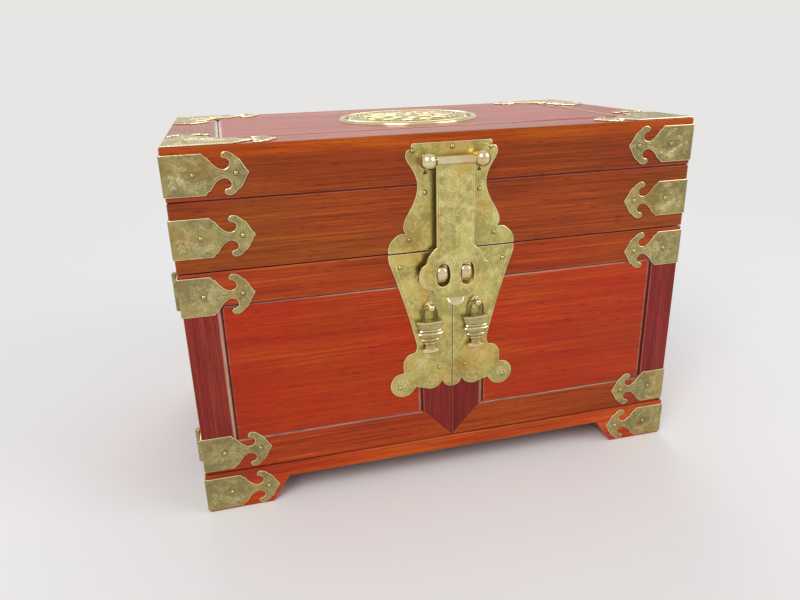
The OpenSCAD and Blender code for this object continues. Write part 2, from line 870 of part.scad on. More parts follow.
module door_left_frame() door_frame();
module door_left_panel() door_panel();
module door_left_hinge_straps() hinge_strap();
module door_left_lock_plate() lock_plate();
module door_left_staple() staple();
module door_left_pull_eye() pull_eye();
module door_left_nails() door_nails();
module door_right_frame() on_right() door_frame();
module door_right_panel() on_right() door_panel();
module door_right_hinge_straps() on_right() hinge_strap();
module door_right_lock_plate() on_right() lock_plate();
module door_right_staple() on_right() staple();
module door_right_pull_eye() on_right() pull_eye();
module door_right_nails() on_right() door_nails();
module pull_left() pull();
module pull_right() on_right() pull();

// ---- Tray and drawers ----

tray_w = inner_w - 2 * tray_gap;
tray_y = case_front + back_t + tray_gap;
tray_d = back_y - tray_gap - tray_y;
tray_z = floor_z + 0.3;

module tray() {
    cell_w = (tray_w - 4 * tray_wall) / 3;
    cell_d = (tray_d - 3 * tray_wall) / 2;
    color(INNER) stand() translate([-tray_w / 2, tray_y, tray_z]) difference() {
        cube([tray_w, tray_d, tray_h]);
        for (column = [0 : 2], row = [0, 1])
            translate([tray_wall + column * (cell_w + tray_wall),
                tray_wall + row * (cell_d + tray_wall), floor_t])
                cube([cell_w, cell_d, tray_h]);
        for (x = [-1, tray_w - tray_wall - 1])
            translate([x, tray_d / 2 + (cell_d + tray_wall) / 2, tray_h]) rotate([0, 90, 0])
                cylinder(h = tray_wall + 2, r = finger_r);
    }
}

// Puts a piece drawn from a drawer's lower front left corner in its bay. The column is
// -1 for left and 1 for right, the row 0 for lower and 1 for upper.
module in_bay(column, row) {
    stand() translate([column * bay_x - drawer_w / 2, drawer_y,
        bay_z + row * (bay_h + shelf_t) + drawer_gap / 2]) children();
}

module drawer_front(column, row) {
    color(WOOD) in_bay(column, row) cube([drawer_w, front_t, drawer_h]);
}

module drawer_box(column, row) {
    color(INNER) in_bay(column, row) translate([0, front_t, 0]) difference() {
        cube([drawer_w, drawer_d - front_t, drawer_h]);
        translate([drawer_wall, -1, floor_t])
            cube([drawer_w - 2 * drawer_wall, drawer_d - front_t - drawer_wall + 1, drawer_h]);
    }
}

module drawer_knob(column, row) {
    color(BRASS) in_bay(column, row) translate([drawer_w / 2, 0, drawer_h / 2])
        rotate([90, 0, 0]) rotate_extrude()
            polygon([[0, 0], [knob_r, 0], [knob_r, 1], [2, 1.6], [2, 3.6], [knob_r - 0.8, 5],
                [knob_r - 0.8, 6.6], [knob_r - 2.4, knob_out], [0, knob_out]]);
}

module drawer_upper_left_front() drawer_front(-1, 1);
module drawer_upper_left_box() drawer_box(-1, 1);
module drawer_upper_left_knob() drawer_knob(-1, 1);
module drawer_lower_left_front() drawer_front(-1, 0);
module drawer_lower_left_box() drawer_box(-1, 0);
module drawer_lower_left_knob() drawer_knob(-1, 0);
module drawer_upper_right_front() drawer_front(1, 1);
module drawer_upper_right_box() drawer_box(1, 1);
module drawer_upper_right_knob() drawer_knob(1, 1);
module drawer_lower_right_front() drawer_front(1, 0);
module drawer_lower_right_box() drawer_box(1, 0);
module drawer_lower_right_knob() drawer_knob(1, 0);

plinth_rails();
plinth_sides();
case_sides();
case_back();
case_bottom();
compartment_floor();
compartment_rail();
drawer_partition();
drawer_shelves();
plinth_straps();
door_hinge_leaves();
lid_hinge_lower_leaves();
hinge_pins();
case_nails();
lid_front();
lid_back();
lid_sides();
lid_top_frame();
lid_top_panel();
lid_straps();
lid_corner_plates();
medallion();
medallion_rim();
mirror_frame();
mirror_glass();
lid_hinge_upper_leaves();
hasp_plate();
hasp_posts();
hasp_rod();
lid_nails();
hasp_strap();
door_left_frame();
door_left_panel();
door_left_hinge_straps();
door_left_lock_plate();
door_left_staple();
door_left_pull_eye();
door_left_nails();
door_right_frame();
door_right_panel();
door_right_hinge_straps();
door_right_lock_plate();
door_right_staple();
door_right_pull_eye();
door_right_nails();
pull_left();
pull_right();
tray();
drawer_upper_left_front();
drawer_upper_left_box();
drawer_upper_left_knob();
drawer_lower_left_front();
drawer_lower_left_box();
drawer_lower_left_knob();
drawer_upper_right_front();
drawer_upper_right_box();
drawer_upper_right_knob();
drawer_lower_right_front();
drawer_lower_right_box();
drawer_lower_right_knob();
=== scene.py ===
"""Dresses the jewelry box: lacquered rosewood boards with bevelled edges, engraved brass
straps and plates, turned knobs and pulls, linings and a mirror.

Everything is in metres in the part's own frame: +Z is up and the doors face -Y. Sizes that
are given in millimetres are turned into metres by the helpers that draw with them.
"""
import itertools
import math

import bmesh
import bpy
from mathutils import Matrix, Vector


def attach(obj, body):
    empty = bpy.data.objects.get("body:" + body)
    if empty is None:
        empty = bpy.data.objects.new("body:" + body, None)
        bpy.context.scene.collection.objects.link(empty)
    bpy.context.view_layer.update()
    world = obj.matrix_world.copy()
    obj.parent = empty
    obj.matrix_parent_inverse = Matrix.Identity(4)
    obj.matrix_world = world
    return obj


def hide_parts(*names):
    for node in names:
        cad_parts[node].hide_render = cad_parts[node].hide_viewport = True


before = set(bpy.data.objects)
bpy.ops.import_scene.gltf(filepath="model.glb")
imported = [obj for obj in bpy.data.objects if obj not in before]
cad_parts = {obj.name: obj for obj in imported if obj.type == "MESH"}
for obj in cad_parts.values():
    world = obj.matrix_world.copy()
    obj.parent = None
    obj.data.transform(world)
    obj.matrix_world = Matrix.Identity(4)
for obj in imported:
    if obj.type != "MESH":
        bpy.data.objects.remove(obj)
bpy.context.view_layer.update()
scene = bpy.context.scene
MM = 0.001

# ---- Where the case's faces are, in millimetres ----

CASE_Y = 3.65  # the case's middle, behind the origin
HALF_W = 160.0
HALF_D = 95.0
PLINTH_LIP = 1.0  # how far the plinth stands out from the case
SEAM_Z = 157.0  # between the doors and the lid
TOP_Z = 226.0
FRONT_Y = CASE_Y - HALF_D
BACK_Y = CASE_Y + HALF_D
SHEET = 0.9  # thickness of the brass sheet
SIDES = (("left", -1), ("right", 1))  # with the sign of their X


# ---- Small helpers for node trees ----

def feed(tree, target, value):
    """Gives an input a value, or links it to a socket."""
    if isinstance(value, bpy.types.NodeSocket):
        tree.links.new(value, target)
    else:
        target.default_value = value


def feed_all(tree, made, **inputs):
    """Feeds a node's inputs by their names, where an underscore stands for a space."""
    for name, value in inputs.items():
        feed(tree, made.inputs[name.replace("_", " ")], value)
    return made


def new_node(tree, kind, **inputs):
    return feed_all(tree, tree.nodes.new(kind), **inputs)


def object_place(tree):
    """Where a point lies on its piece."""
    return tree.nodes.new("ShaderNodeTexCoord").outputs["Object"]


def mix_colors(tree, factor, first, second, blend="MIX"):
    made = tree.nodes.new("ShaderNodeMix")
    made.data_type = "RGBA"
    made.blend_type = blend
    for target, value in zip((made.inputs[0], made.inputs[6], made.inputs[7]),
                             (factor, first, second)):
        feed(tree, target, value)
    return made.outputs[2]


def calculate(tree, operation, *values):
    made = tree.nodes.new("ShaderNodeMath")
    made.operation = operation
    for target, value in zip(made.inputs, values):
        feed(tree, target, value)
    return made.outputs[0]


def spread(tree, value, low, high, to_low=0.0, to_high=1.0):
    """Maps the range low to high of a value smoothly to another range."""
    made = new_node(tree, "ShaderNodeMapRange", Value=value, From_Min=low, From_Max=high,
                    To_Min=to_low, To_Max=to_high)
    made.interpolation_type = "SMOOTHSTEP"
    return made.outputs["Result"]


def noise(tree, vector, scale, stretch=(1, 1, 1), detail=3.0, roughness=0.5, distortion=0.0):
    """A noise pattern whose vector is first stretched along its own axes."""
    mapping = new_node(tree, "ShaderNodeMapping", Vector=vector, Scale=stretch)
    made = new_node(tree, "ShaderNodeTexNoise", Vector=mapping.outputs["Vector"], Scale=scale,
                    Detail=detail, Roughness=roughness, Distortion=distortion)
    return made.outputs["Fac"]


def new_group(name, inputs, outputs):
    """A node group with named inputs and outputs."""
    group = bpy.data.node_groups.new(name, "ShaderNodeTree")
    for label, kind, value in inputs:
        socket = group.interface.new_socket(label, in_out="INPUT", socket_type=kind)
        if value is not None:
            socket.default_value = value
    for label, kind in outputs:
        group.interface.new_socket(label, in_out="OUTPUT", socket_type=kind)
    return group, group.nodes.new("NodeGroupInput"), group.nodes.new("NodeGroupOutput")


COLOR, FLOAT, VECTOR = "NodeSocketColor", "NodeSocketFloat", "NodeSocketVector"


# ---- Effects that several materials share ----

def make_grain_group():
    """Straight rosewood grain: wide bands, fine fibres and short dark pores."""
    group, given, result = new_group(
        "rosewood_grain",
        [("Grain", VECTOR, None), ("Dark", COLOR, (0.1, 0.02, 0.01, 1)),
         ("Middle", COLOR, (0.3, 0.06, 0.02, 1)), ("Light", COLOR, (0.5, 0.14, 0.03, 1)),
         ("Streaks", FLOAT, 0.5)],
        [("Color", COLOR), ("Height", FLOAT), ("Roughness", FLOAT)])
    along = given.outputs["Grain"]
    clouds = noise(group, along, 16.0, (0.45, 1, 1), 2.0)
    bands = noise(group, along, 90.0, (0.045, 1, 0.6), 3.0, 0.5, 0.4)
    lines = noise(group, along, 520.0, (0.017, 1, 1), 3.0, 0.6, 0.15)
    fibres = noise(group, along, 1250.0, (0.016, 1, 1), 2.0, 0.6)
    pores = noise(group, along, 2100.0, (0.05, 1, 1), 1.0)
    tone = calculate(group, "MULTIPLY", bands, 0.20)
    for part, weight in ((lines, 0.25), (fibres, 0.29), (clouds, 0.26)):
        tone = calculate(group, "ADD", tone, calculate(group, "MULTIPLY", part, weight))
    deep = mix_colors(group, spread(group, tone, 0.405, 0.51), given.outputs["Dark"],
                      given.outputs["Middle"])
    lit = mix_colors(group, spread(group, tone, 0.50, 0.63), deep, given.outputs["Light"])
    streak = calculate(group, "MULTIPLY", spread(group, fibres, 0.48, 0.36),
                       given.outputs["Streaks"])
    streaked = mix_colors(group, streak, lit, given.outputs["Dark"])
    hues = noise(group, along, 19.0, (0.5, 1, 1), 2.0, 0.5, 0.3)
    tint = mix_colors(group, spread(group, hues, 0.40, 0.60), (1.03, 0.89, 1.06, 1),
                      (0.98, 1.11, 0.94, 1))
    tinted = mix_colors(group, 1.0, streaked, tint, "MULTIPLY")
    pore = calculate(group, "MULTIPLY", spread(group, pores, 0.60, 0.72), 0.6)
    feed_all(group, result,
             Color=mix_colors(group, pore, tinted, (0.035, 0.006, 0.004, 1)),
             Height=calculate(group, "SUBTRACT", calculate(group, "MULTIPLY", fibres, 0.6),
                              pore),
             Roughness=spread(group, lines, 0.3, 0.7, 0.46, 0.34))
    return group


def make_patina_group():
    """Old brass: cloudy tarnish, rosy patches, fine mottling and darker specks."""
    group, given, result = new_group(
        "brass_patina",
        [("Place", VECTOR, None), ("Bright", COLOR, (0.6, 0.5, 0.25, 1)),
         ("Tarnish", COLOR, (0.3, 0.25, 0.1, 1)), ("Amount", FLOAT, 0.5)],
        [("Color", COLOR), ("Height", FLOAT), ("Roughness", FLOAT)])
    place = given.outputs["Place"]
    clouds = noise(group, place, 55.0, (1, 1, 1), 3.0, 0.6, 0.8)
    hues = noise(group, place, 38.0, (1, 1, 1), 2.0, 0.5, 0.5)
    mottle = noise(group, place, 420.0, (1, 1, 1), 3.0, 0.65, 0.2)
    specks = noise(group, place, 1500.0, (1, 1, 1), 1.0)
    worn = calculate(group, "ADD", calculate(group, "MULTIPLY", clouds, 0.6),
                     calculate(group, "MULTIPLY", mottle, 0.4))
    amount = calculate(group, "MULTIPLY", spread(group, worn, 0.42, 0.60),
                       given.outputs["Amount"])
    color = mix_colors(group, amount, given.outputs["Bright"], given.outputs["Tarnish"])
    rosy = mix_colors(group, 0.55, color, (1.0, 0.72, 0.52, 1), "MULTIPLY")
    color = mix_colors(group, spread(group, hues, 0.50, 0.66), color, rosy)
    speck = calculate(group, "MULTIPLY", spread(group, specks, 0.68, 0.80), 0.5)
    feed_all(group, result, Color=mix_colors(group, speck, color, (0.07, 0.05, 0.02, 1)),
             Height=mottle, Roughness=spread(group, worn, 0.35, 0.65, 0.26, 0.42))
    return group


grain_group = make_grain_group()
patina_group = make_patina_group()


# ---- Materials ----

def new_material(name, **inputs):
    """A material with its node tree and its shader, whose inputs may be given."""
    material = bpy.data.materials.new(name)
    material.use_nodes = True
    tree = material.node_tree
    return material, tree, feed_all(tree, tree.nodes["Principled BSDF"], **inputs)


def add_group(tree, group, **inputs):
    made = tree.nodes.new("ShaderNodeGroup")
    made.node_tree = group
    return feed_all(tree, made, **inputs)


def bump(tree, height, distance, strength):
    """A normal from a height. The distance is in metres."""
    made = new_node(tree, "ShaderNodeBump", Height=height, Distance=distance,
                    Strength=strength)
    return made.outputs["Normal"]


def rosewood(name, dark, middle, light, streaks=0.5, coat=0.22, coat_roughness=0.12):
    """Lacquered wood whose grain follows each board's own length."""
    # The reddish specular tint colours the lacquer's reflections: a painted reddish reflection
    material, tree, shader = new_material(
        name, Specular_IOR_Level=0.2, Specular_Tint=(1.0, 0.42, 0.24, 1), Coat_Weight=coat,
        Coat_Roughness=coat_roughness)
    attribute = tree.nodes.new("ShaderNodeAttribute")
    attribute.attribute_name = "grain"
    group = add_group(tree, grain_group, Grain=attribute.outputs["Vector"], Dark=(*dark, 1),
                      Middle=(*middle, 1), Light=(*light, 1), Streaks=streaks)
    feed_all(tree, shader, Base_Color=group.outputs["Color"],
             Roughness=group.outputs["Roughness"],
             Normal=bump(tree, group.outputs["Height"], 0.00012, 0.6))
    return material


def warm_above(material, low, high, tint):
    """Tints a wood warmer and lighter above a height, blending in between two heights in metres.
    """
    tree = material.node_tree
    shader = tree.nodes["Principled BSDF"]
    place = object_place(tree)
    split = new_node(tree, "ShaderNodeSeparateXYZ", Vector=place)
    wander = calculate(tree, "MULTIPLY", noise(tree, place, 30.0, detail=2.0), 0.006)
    height = calculate(tree, "ADD", split.outputs["Z"], wander)
    plain = shader.inputs["Base Color"].links[0].from_socket
    warm = mix_colors(tree, 1.0, plain, (*tint, 1), "MULTIPLY")
    feed_all(tree, shader,
             Base_Color=mix_colors(tree, spread(tree, height, low, high), plain, warm))


def brass(name, bright, tarnish, amount, roughness=None):
    """Aged brass. Without a roughness of its own it takes the patina's."""
    material, tree, shader = new_material(name, Metallic=1.0)
    group = add_group(tree, patina_group, Place=object_place(tree), Bright=(*bright, 1),
                      Tarnish=(*tarnish, 1), Amount=amount)
    feed_all(tree, shader, Base_Color=group.outputs["Color"],
             Roughness=roughness or group.outputs["Roughness"],
             Normal=bump(tree, group.outputs["Height"], 0.00005, 0.5))
    return material


rail_wood = rosewood("rosewood_rails", (0.235, 0.027, 0.004), (0.360, 0.047, 0.006),
                     (0.510, 0.092, 0.009), streaks=0.4)
panel_wood = rosewood("rosewood_panels", (0.310, 0.020, 0.004), (0.385, 0.029, 0.004),
                      (0.480, 0.058, 0.005), streaks=0.18)
stile_wood = rosewood("rosewood_stiles", (0.135, 0.009, 0.011), (0.210, 0.015, 0.015),
                      (0.290, 0.036, 0.024), streaks=0.35)
lid_wood = rosewood("rosewood_lid", (0.185, 0.030, 0.004), (0.275, 0.047, 0.006),
                    (0.410, 0.088, 0.009), streaks=0.38)
plinth_wood = rosewood("rosewood_plinth", (0.255, 0.024, 0.004), (0.455, 0.054, 0.005),
                       (0.600, 0.100, 0.008), streaks=0.4)
warm_above(lid_wood, 0.2175, 0.2255, (1.45, 1.45, 0.5))
inner_wood = rosewood("rosewood_inside", (0.090, 0.020, 0.007), (0.190, 0.050, 0.016),
                      (0.290, 0.090, 0.028), streaks=0.4, coat=0.1, coat_roughness=0.25)
# Eased edges: lighter for wear, and a painted highlight along them
wood_edges_wear_and_painted_highlight = rosewood("rosewood_edges_worn_and_painted_highlight", (0.22, 0.034, 0.010), (0.38, 0.085, 0.026),
                     (0.58, 0.18, 0.07), streaks=0.6, coat=0.6)
# Painted shade: a dark copy of the wood for the sides of grooves
painted_shade_in_grooves = rosewood("rosewood_painted_shade_in_grooves", (0.040, 0.005, 0.006), (0.075, 0.010, 0.011),
                       (0.120, 0.020, 0.016), coat=0.05)
# Painted reflection: a near-white copy of the wood for the groove along the left edge of the
# lid's top
painted_reflection_in_top_groove = rosewood("rosewood_painted_reflection_in_top_groove", (0.66, 0.60, 0.54), (0.78, 0.73, 0.66),
                        (0.88, 0.84, 0.78), streaks=0.1, coat=0.1)
# Painted shade: a dark copy of the wood for the sides of the lid's groove
painted_shade_in_lid_groove = rosewood("rosewood_painted_shade_in_lid_groove", (0.100, 0.016, 0.010), (0.150, 0.026, 0.016),
                        (0.300, 0.130, 0.100), coat=0.05)
# Painted highlight: a pale copy of the wood for the sides of the doors' grooves that look up or
# right
painted_highlight_in_grooves = rosewood("rosewood_painted_highlight_in_grooves", (0.34, 0.17, 0.15), (0.46, 0.26, 0.24),
                      (0.58, 0.36, 0.33), streaks=0.2, coat=0.1)

sheet_brass = brass("brass_sheet", (0.425, 0.355, 0.140), (0.240, 0.200, 0.088), 0.8)
# Engraved lines on the lock plates: brighter for polish and a painted highlight
lock_cut_brass = brass("brass_lock_lines", (0.80, 0.72, 0.37), (0.55, 0.48, 0.21), 0.8, 0.25)
# The lock plates' and hasp's sheet: a lighter copy of the sheet brass, painted light
lock_brass = brass("brass_lock_sheet", (0.62, 0.535, 0.175), (0.385, 0.33, 0.11), 0.85)
# The plates' edges: brighter for wear, and a painted highlight along them
brass_edges_wear_and_painted_highlight = brass("brass_edges_worn_and_painted_highlight", (0.92, 0.84, 0.56), (0.70, 0.60, 0.32), 0.4, 0.25)
bright_brass = brass("brass_polished", (0.74, 0.66, 0.40), (0.46, 0.38, 0.18), 0.35, 0.14)
cast_brass = brass("brass_castings", (0.55, 0.47, 0.20), (0.28, 0.23, 0.09), 0.6, 0.2)
# Engraved lines: brighter for polish and a painted highlight
cut_brass = brass("brass_engraved_lines", (0.59, 0.52, 0.26), (0.38, 0.33, 0.15), 0.9, 0.3)
dark_brass = brass("brass_dark_wire", (0.25, 0.20, 0.08), (0.08, 0.06, 0.025), 0.8)


def make_polish_and_shade_ring():
    """The dark ring round a nail: dried polish and painted shade."""
    material, tree, shader = new_material("dried_polish_and_painted_shade", Roughness=0.8)
    crumbs = noise(tree, object_place(tree), 900.0, detail=2.0, roughness=0.6)
    feed_all(tree, shader, Base_Color=mix_colors(tree, crumbs, (0.06, 0.042, 0.018, 1),
                                                 (0.15, 0.11, 0.045, 1)))
    return material


def make_velvet():
    """Short-piled velvet for the linings."""
    material, tree, shader = new_material(
        "velvet_lining", Roughness=0.95, Sheen_Weight=0.6, Sheen_Roughness=0.35,
        Sheen_Tint=(0.9, 0.35, 0.35, 1))
    place = object_place(tree)
    pile = noise(tree, place, 2600.0, detail=2.0, roughness=0.6)
    crush = noise(tree, place, 45.0, (1, 1, 1), 3.0, 0.55, 0.4)
    feed_all(tree, shader,
             Base_Color=mix_colors(tree, spread(tree, crush, 0.35, 0.65),
                                   (0.20, 0.008, 0.016, 1), (0.34, 0.022, 0.034, 1)),
             Normal=bump(tree, pile, 0.0003, 0.5))
    return material


def make_mirror():
    """The silvered back of the glass, faintly hazy."""
    material, tree, shader = new_material("mirror_silver", Metallic=1.0, Roughness=0.02)
    haze = noise(tree, object_place(tree), 30.0, roughness=0.6)
    feed_all(tree, shader, Base_Color=mix_colors(tree, spread(tree, haze, 0.3, 0.8),
                                                 (0.86, 0.88, 0.88, 1),
                                                 (0.80, 0.82, 0.82, 1)))
    return material


dried_polish_and_painted_shade = make_polish_and_shade_ring()
velvet = make_velvet()
mirror_silver = make_mirror()


# ---- Mesh helpers ----

CREASE = math.radians(32)  # a sharper edge isn't shaded smooth
LOG_STEP = Vector((0.71, 0.37, 0.23))  # from one board's place in the grain to the next's
logs = itertools.count(1)


def loose_parts(bm):
    """The mesh's separate solids, in the order of their first faces."""
    for face in bm.faces:
        face.tag = False
    parts = []
    for first in bm.faces:
        if first.tag:
            continue
        first.tag = True
        part, waiting = [], [first]
        while waiting:
            face = waiting.pop()
            part.append(face)
            for edge in face.edges:
                for other in edge.link_faces:
                    if not other.tag:
                        other.tag = True
                        waiting.append(other)
        parts.append(part)
    return parts


def lay_grain(bm, upright_slot=None):
    """Gives each board grain coordinates along its own length, each from its own log."""
    layer = bm.verts.layers.float_vector.new("grain")
    for part in loose_parts(bm):
        corners = {v for face in part for v in face.verts}
        low = [min(v.co[i] for v in corners) for i in range(3)]
        high = [max(v.co[i] for v in corners) for i in range(3)]
        order = sorted(range(3), key=lambda i: low[i] - high[i])
        shift = LOG_STEP * next(logs)
        for v in corners:
            v[layer] = Vector([v.co[i] for i in order]) + shift
        if upright_slot is not None and order[0] == 2:
            for face in part:
                face.material_index = upright_slot


def paint(bm, slot, smooth=True):
    """Gives every face a material slot, and smooth or flat shading."""
    for face in bm.faces:
        face.smooth = smooth
        face.material_index = slot
    return bm


def finish_piece(bm, name, body, materials, replaces=()):
    """Turns a bmesh into a piece that rides on a body."""
    for edge in bm.edges:
        if len(edge.link_faces) == 2 and edge.calc_face_angle(0) > CREASE:
            edge.smooth = False
    mesh = bpy.data.meshes.new(name)
    bm.to_mesh(mesh)
    bm.free()
    for material in materials:
        mesh.materials.append(material)
    piece = bpy.data.objects.new(name, mesh)
    scene.collection.objects.link(piece)
    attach(piece, body)
    if replaces:
        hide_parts(*replaces)


def copy_of_node(name):
    """A merged copy of a CAD node's mesh, with its flat faces whole again."""
    bm = bmesh.new()
    bm.from_mesh(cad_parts[name].data)
    bmesh.ops.remove_doubles(bm, verts=bm.verts, dist=1e-6)
    bmesh.ops.dissolve_limit(bm, angle_limit=math.radians(1), verts=bm.verts, edges=bm.edges)
    return bm


def soften(bm, offset, segments=2, angle=25):
    """Bevels every edge that turns by more than the angle, in degrees."""
    sharp = [e for e in bm.edges
             if len(e.link_faces) == 2 and e.calc_face_angle() > math.radians(angle)]
    return bmesh.ops.bevel(bm, geom=sharp, offset=offset, offset_type="OFFSET",
                           segments=segments, profile=0.5, affect="EDGES",
                           clamp_overlap=True, material=-1)["faces"]


# A board's material slots: eased edges look worn and carry a painted highlight, and SHADED and
# LIT give painted shade and a painted highlight in grooves
BOARD, UPRIGHT, EASED, SHADED, LIT = range(5)


def dress_boards(node_name, body, wood, upright_wood=None, edge=0.0005,
                 groove_slot=None, shaded=painted_shade_in_grooves, lit=painted_highlight_in_grooves, reshape=None):
    """Replaces a wooden node by the same boards with eased edges and real grain.

    groove_slot gives the slot of a face that lies in a groove, and BOARD for any other.
    """
    bm = copy_of_node(node_name)
    if reshape:
        reshape(bm)
    eased = soften(bm, edge)
    lay_grain(bm, UPRIGHT if upright_wood else None)
    for face in eased:
        face.material_index = EASED
    # Faces in a groove get painted shade or a painted highlight
    if groove_slot:
        for face in bm.faces:
            face.material_index = groove_slot(face) or face.material_index
    materials = [wood, upright_wood or wood, wood_edges_wear_and_painted_highlight, shaded, lit]
    finish_piece(bm, node_name + "_wood", body, materials, [node_name])


GROOVE = 1.9  # depth and half width of a panel's groove, and width of the lid's
LID_GROOVE_Z = SEAM_Z + 40
NARROWER = 0.5  # what is left of the width of the lid's groove, as a share
LID_GROOVE_EDGE = 0.62  # from its middle to just beyond its new lips
SHALLOWER = 0.8  # how far the bottoms of the doors' grooves come forward
LINED_UP = 0.02  # how far off still counts as in line with a face
NEARBY = 0.1  # how far off still counts as on a groove's line
TOP_RIM = 5  # a face this near the lid's outer edge isn't in its groove


def lid_groove_slot(face):
    """The V groove round the lid, whose lips were brought closer together; its sides get painted
    shade.
    """
    off = abs(face.calc_center_median().z / MM - LID_GROOVE_Z)
    return SHADED if off < LID_GROOVE_EDGE and abs(face.normal.z) > 0.1 else BOARD


def door_groove_slot(face):
    """The groove round a door's panel: a side that looks up or right gets a painted highlight,
    and the others painted shade.
    """
    if face.material_index == EASED or not -0.95 < face.normal.y < -0.12:
        return BOARD
    return LIT if face.normal.x + face.normal.z > 0.2 else SHADED


def top_groove_slot(face):
    """The groove round the lid's top panel: the sides of the groove along its left edge get a
    pale painted reflection, and the rest of it painted shade.
    """
    middle = face.calc_center_median()
    if (face.material_index == EASED or not 0.4 < face.normal.z < 0.95
            or abs(middle.x) > (HALF_W - TOP_RIM) * MM
            or abs(middle.y - CASE_Y * MM) > (HALF_D - TOP_RIM) * MM):
        return BOARD
    return LIT if middle.x < 0 and abs(face.normal.x) > 0.4 else SHADED


def narrow_lid_groove(bm):
    """Brings the lips of the lid's V groove closer together."""
    for v in bm.verts:
        off = v.co.z / MM - LID_GROOVE_Z
        if abs(abs(off) - GROOVE / 2) < NEARBY:
            v.co.z = (LID_GROOVE_Z + off * NARROWER) * MM


def narrow_door_groove(side, by_panel, by_frame):
    """Makes the groove round a door's panel narrower and shallower.

    The panel's and the frame's lips move by so many millimetres along X and along Z.
    """
    lip = [v.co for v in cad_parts[f"door_{side}_panel"].data.vertices
           if abs(v.co.y / MM - FRONT_Y) < LINED_UP]
    middle = [(min(co[i] for co in lip) + max(co[i] for co in lip)) / 2 for i in (0, 2)]
    half = [(max(co[i] for co in lip) - min(co[i] for co in lip)) / 2 for i in (0, 2)]

    def change(bm):
        for v in bm.verts:
            away = [v.co[i] - c for i, c in zip((0, 2), middle)]
            beyond = [(abs(a) - h) / MM for a, h in zip(away, half)]
            behind = v.co.y / MM - FRONT_Y
            if abs(behind - GROOVE) < LINED_UP and all(abs(b - GROOVE) < NEARBY
                                                       for b in beyond):
                v.co.y -= SHALLOWER * MM
            if abs(behind) > LINED_UP:
                continue
            if all(abs(b) < NEARBY for b in beyond):
                move = by_panel
            elif all(abs(b - 2 * GROOVE) < NEARBY for b in beyond):
                move = [-step for step in by_frame]
            else:
                continue
            v.co.x += math.copysign(1, away[0]) * move[0] * MM
            v.co.z += math.copysign(1, away[1]) * move[1] * MM
    return change


# ---- Wood ----

for name in ("plinth_rails", "plinth_sides"):
    dress_boards(name, "case", plinth_wood)
for name in ("case_sides", "case_back"):
    dress_boards(name, "case", rail_wood)
for name in ("case_bottom", "compartment_floor", "compartment_rail", "drawer_partition",
             "drawer_shelves"):
    dress_boards(name, "case", inner_wood, edge=0.0003)
for name in ("lid_front", "lid_back", "lid_sides"):
    dress_boards(name, "lid", lid_wood, edge=0.0004,
                 groove_slot=lid_groove_slot, shaded=painted_shade_in_lid_groove, reshape=narrow_lid_groove)
dress_boards("lid_top_frame", "lid", rail_wood,
             groove_slot=top_groove_slot, lit=painted_reflection_in_top_groove)
dress_boards("lid_top_panel", "lid", panel_wood,
             groove_slot=top_groove_slot, lit=painted_reflection_in_top_groove)
dress_boards("mirror_frame", "lid", rail_wood)
for side, _ in SIDES:
    narrower = narrow_door_groove(side, (0.6, 1.2), (0, 1.1))
    dress_boards(f"door_{side}_frame", f"door_{side}", rail_wood,
                 stile_wood, edge=0.0003, groove_slot=door_groove_slot, reshape=narrower)
    dress_boards(f"door_{side}_panel", f"door_{side}", panel_wood, edge=0.0003,
                 groove_slot=door_groove_slot, reshape=narrower)
    for row in ("upper", "lower"):
        body = f"drawer_{row}_{side}"
        dress_boards(body + "_front", body, rail_wood)
        dress_boards(body + "_box", body, inner_wood, edge=0.0003)
dress_boards("tray", "tray", inner_wood)

mirror_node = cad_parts["mirror_glass"]
mirror_node.data.materials.clear()
mirror_node.data.materials.append(mirror_silver)


# ---- Brass sheet: outlines in millimetres, thickness upwards from z = 0 ----

CORNER = True
FLAT = 0.99  # a face whose normal is this upright lies flat in the sheet
# The material slots of brass pieces; the lock's sheet and lines are lighter copies, painted light
SHEET_FACE, LINE, WEAR_AND_HIGHLIGHT_EDGE, POLISHED, POLISH_AND_SHADE_RING, CAST, WIRE, LOCK_FACE, LOCK_LINE = range(9)
BRASS_SET = [sheet_brass, cut_brass, brass_edges_wear_and_painted_highlight, bright_brass, dried_polish_and_painted_shade, cast_brass,
             dark_brass, lock_brass, lock_cut_brass]


def curve_mesh(name, splines, closed, **settings):
    """The mesh of Bezier splines in millimetres. A point that ends in CORNER is sharp."""
    curve = bpy.data.curves.new(name, "CURVE")
    for key, value in settings.items():
        setattr(curve, key, value)
    for points in splines:
        spline = curve.splines.new("BEZIER")
        spline.bezier_points.add(len(points) - 1)
        for made, (x, y, *sharp) in zip(spline.bezier_points, points):
            made.co = (x * MM, y * MM, 0)
            made.handle_left_type = made.handle_right_type = "VECTOR" if sharp else "AUTO"
        spline.use_cyclic_u = closed
    carrier = bpy.data.objects.new(name, curve)
    scene.collection.objects.link(carrier)
    bpy.context.view_layer.update()
    mesh = bpy.data.meshes.new_from_object(
        carrier.evaluated_get(bpy.context.evaluated_depsgraph_get()))
    bpy.data.objects.remove(carrier)
    bpy.data.curves.remove(curve)
    return mesh


def add_mesh(bm, mesh, material_index=0):
    """Adds a mesh to a bmesh and gives back its new vertices."""
    old_faces, old_verts = set(bm.faces), set(bm.verts)
    bm.from_mesh(mesh)
    bpy.data.meshes.remove(mesh)
    for face in bm.faces:
        if face not in old_faces:
            face.material_index = material_index
    return [v for v in bm.verts if v not in old_verts]


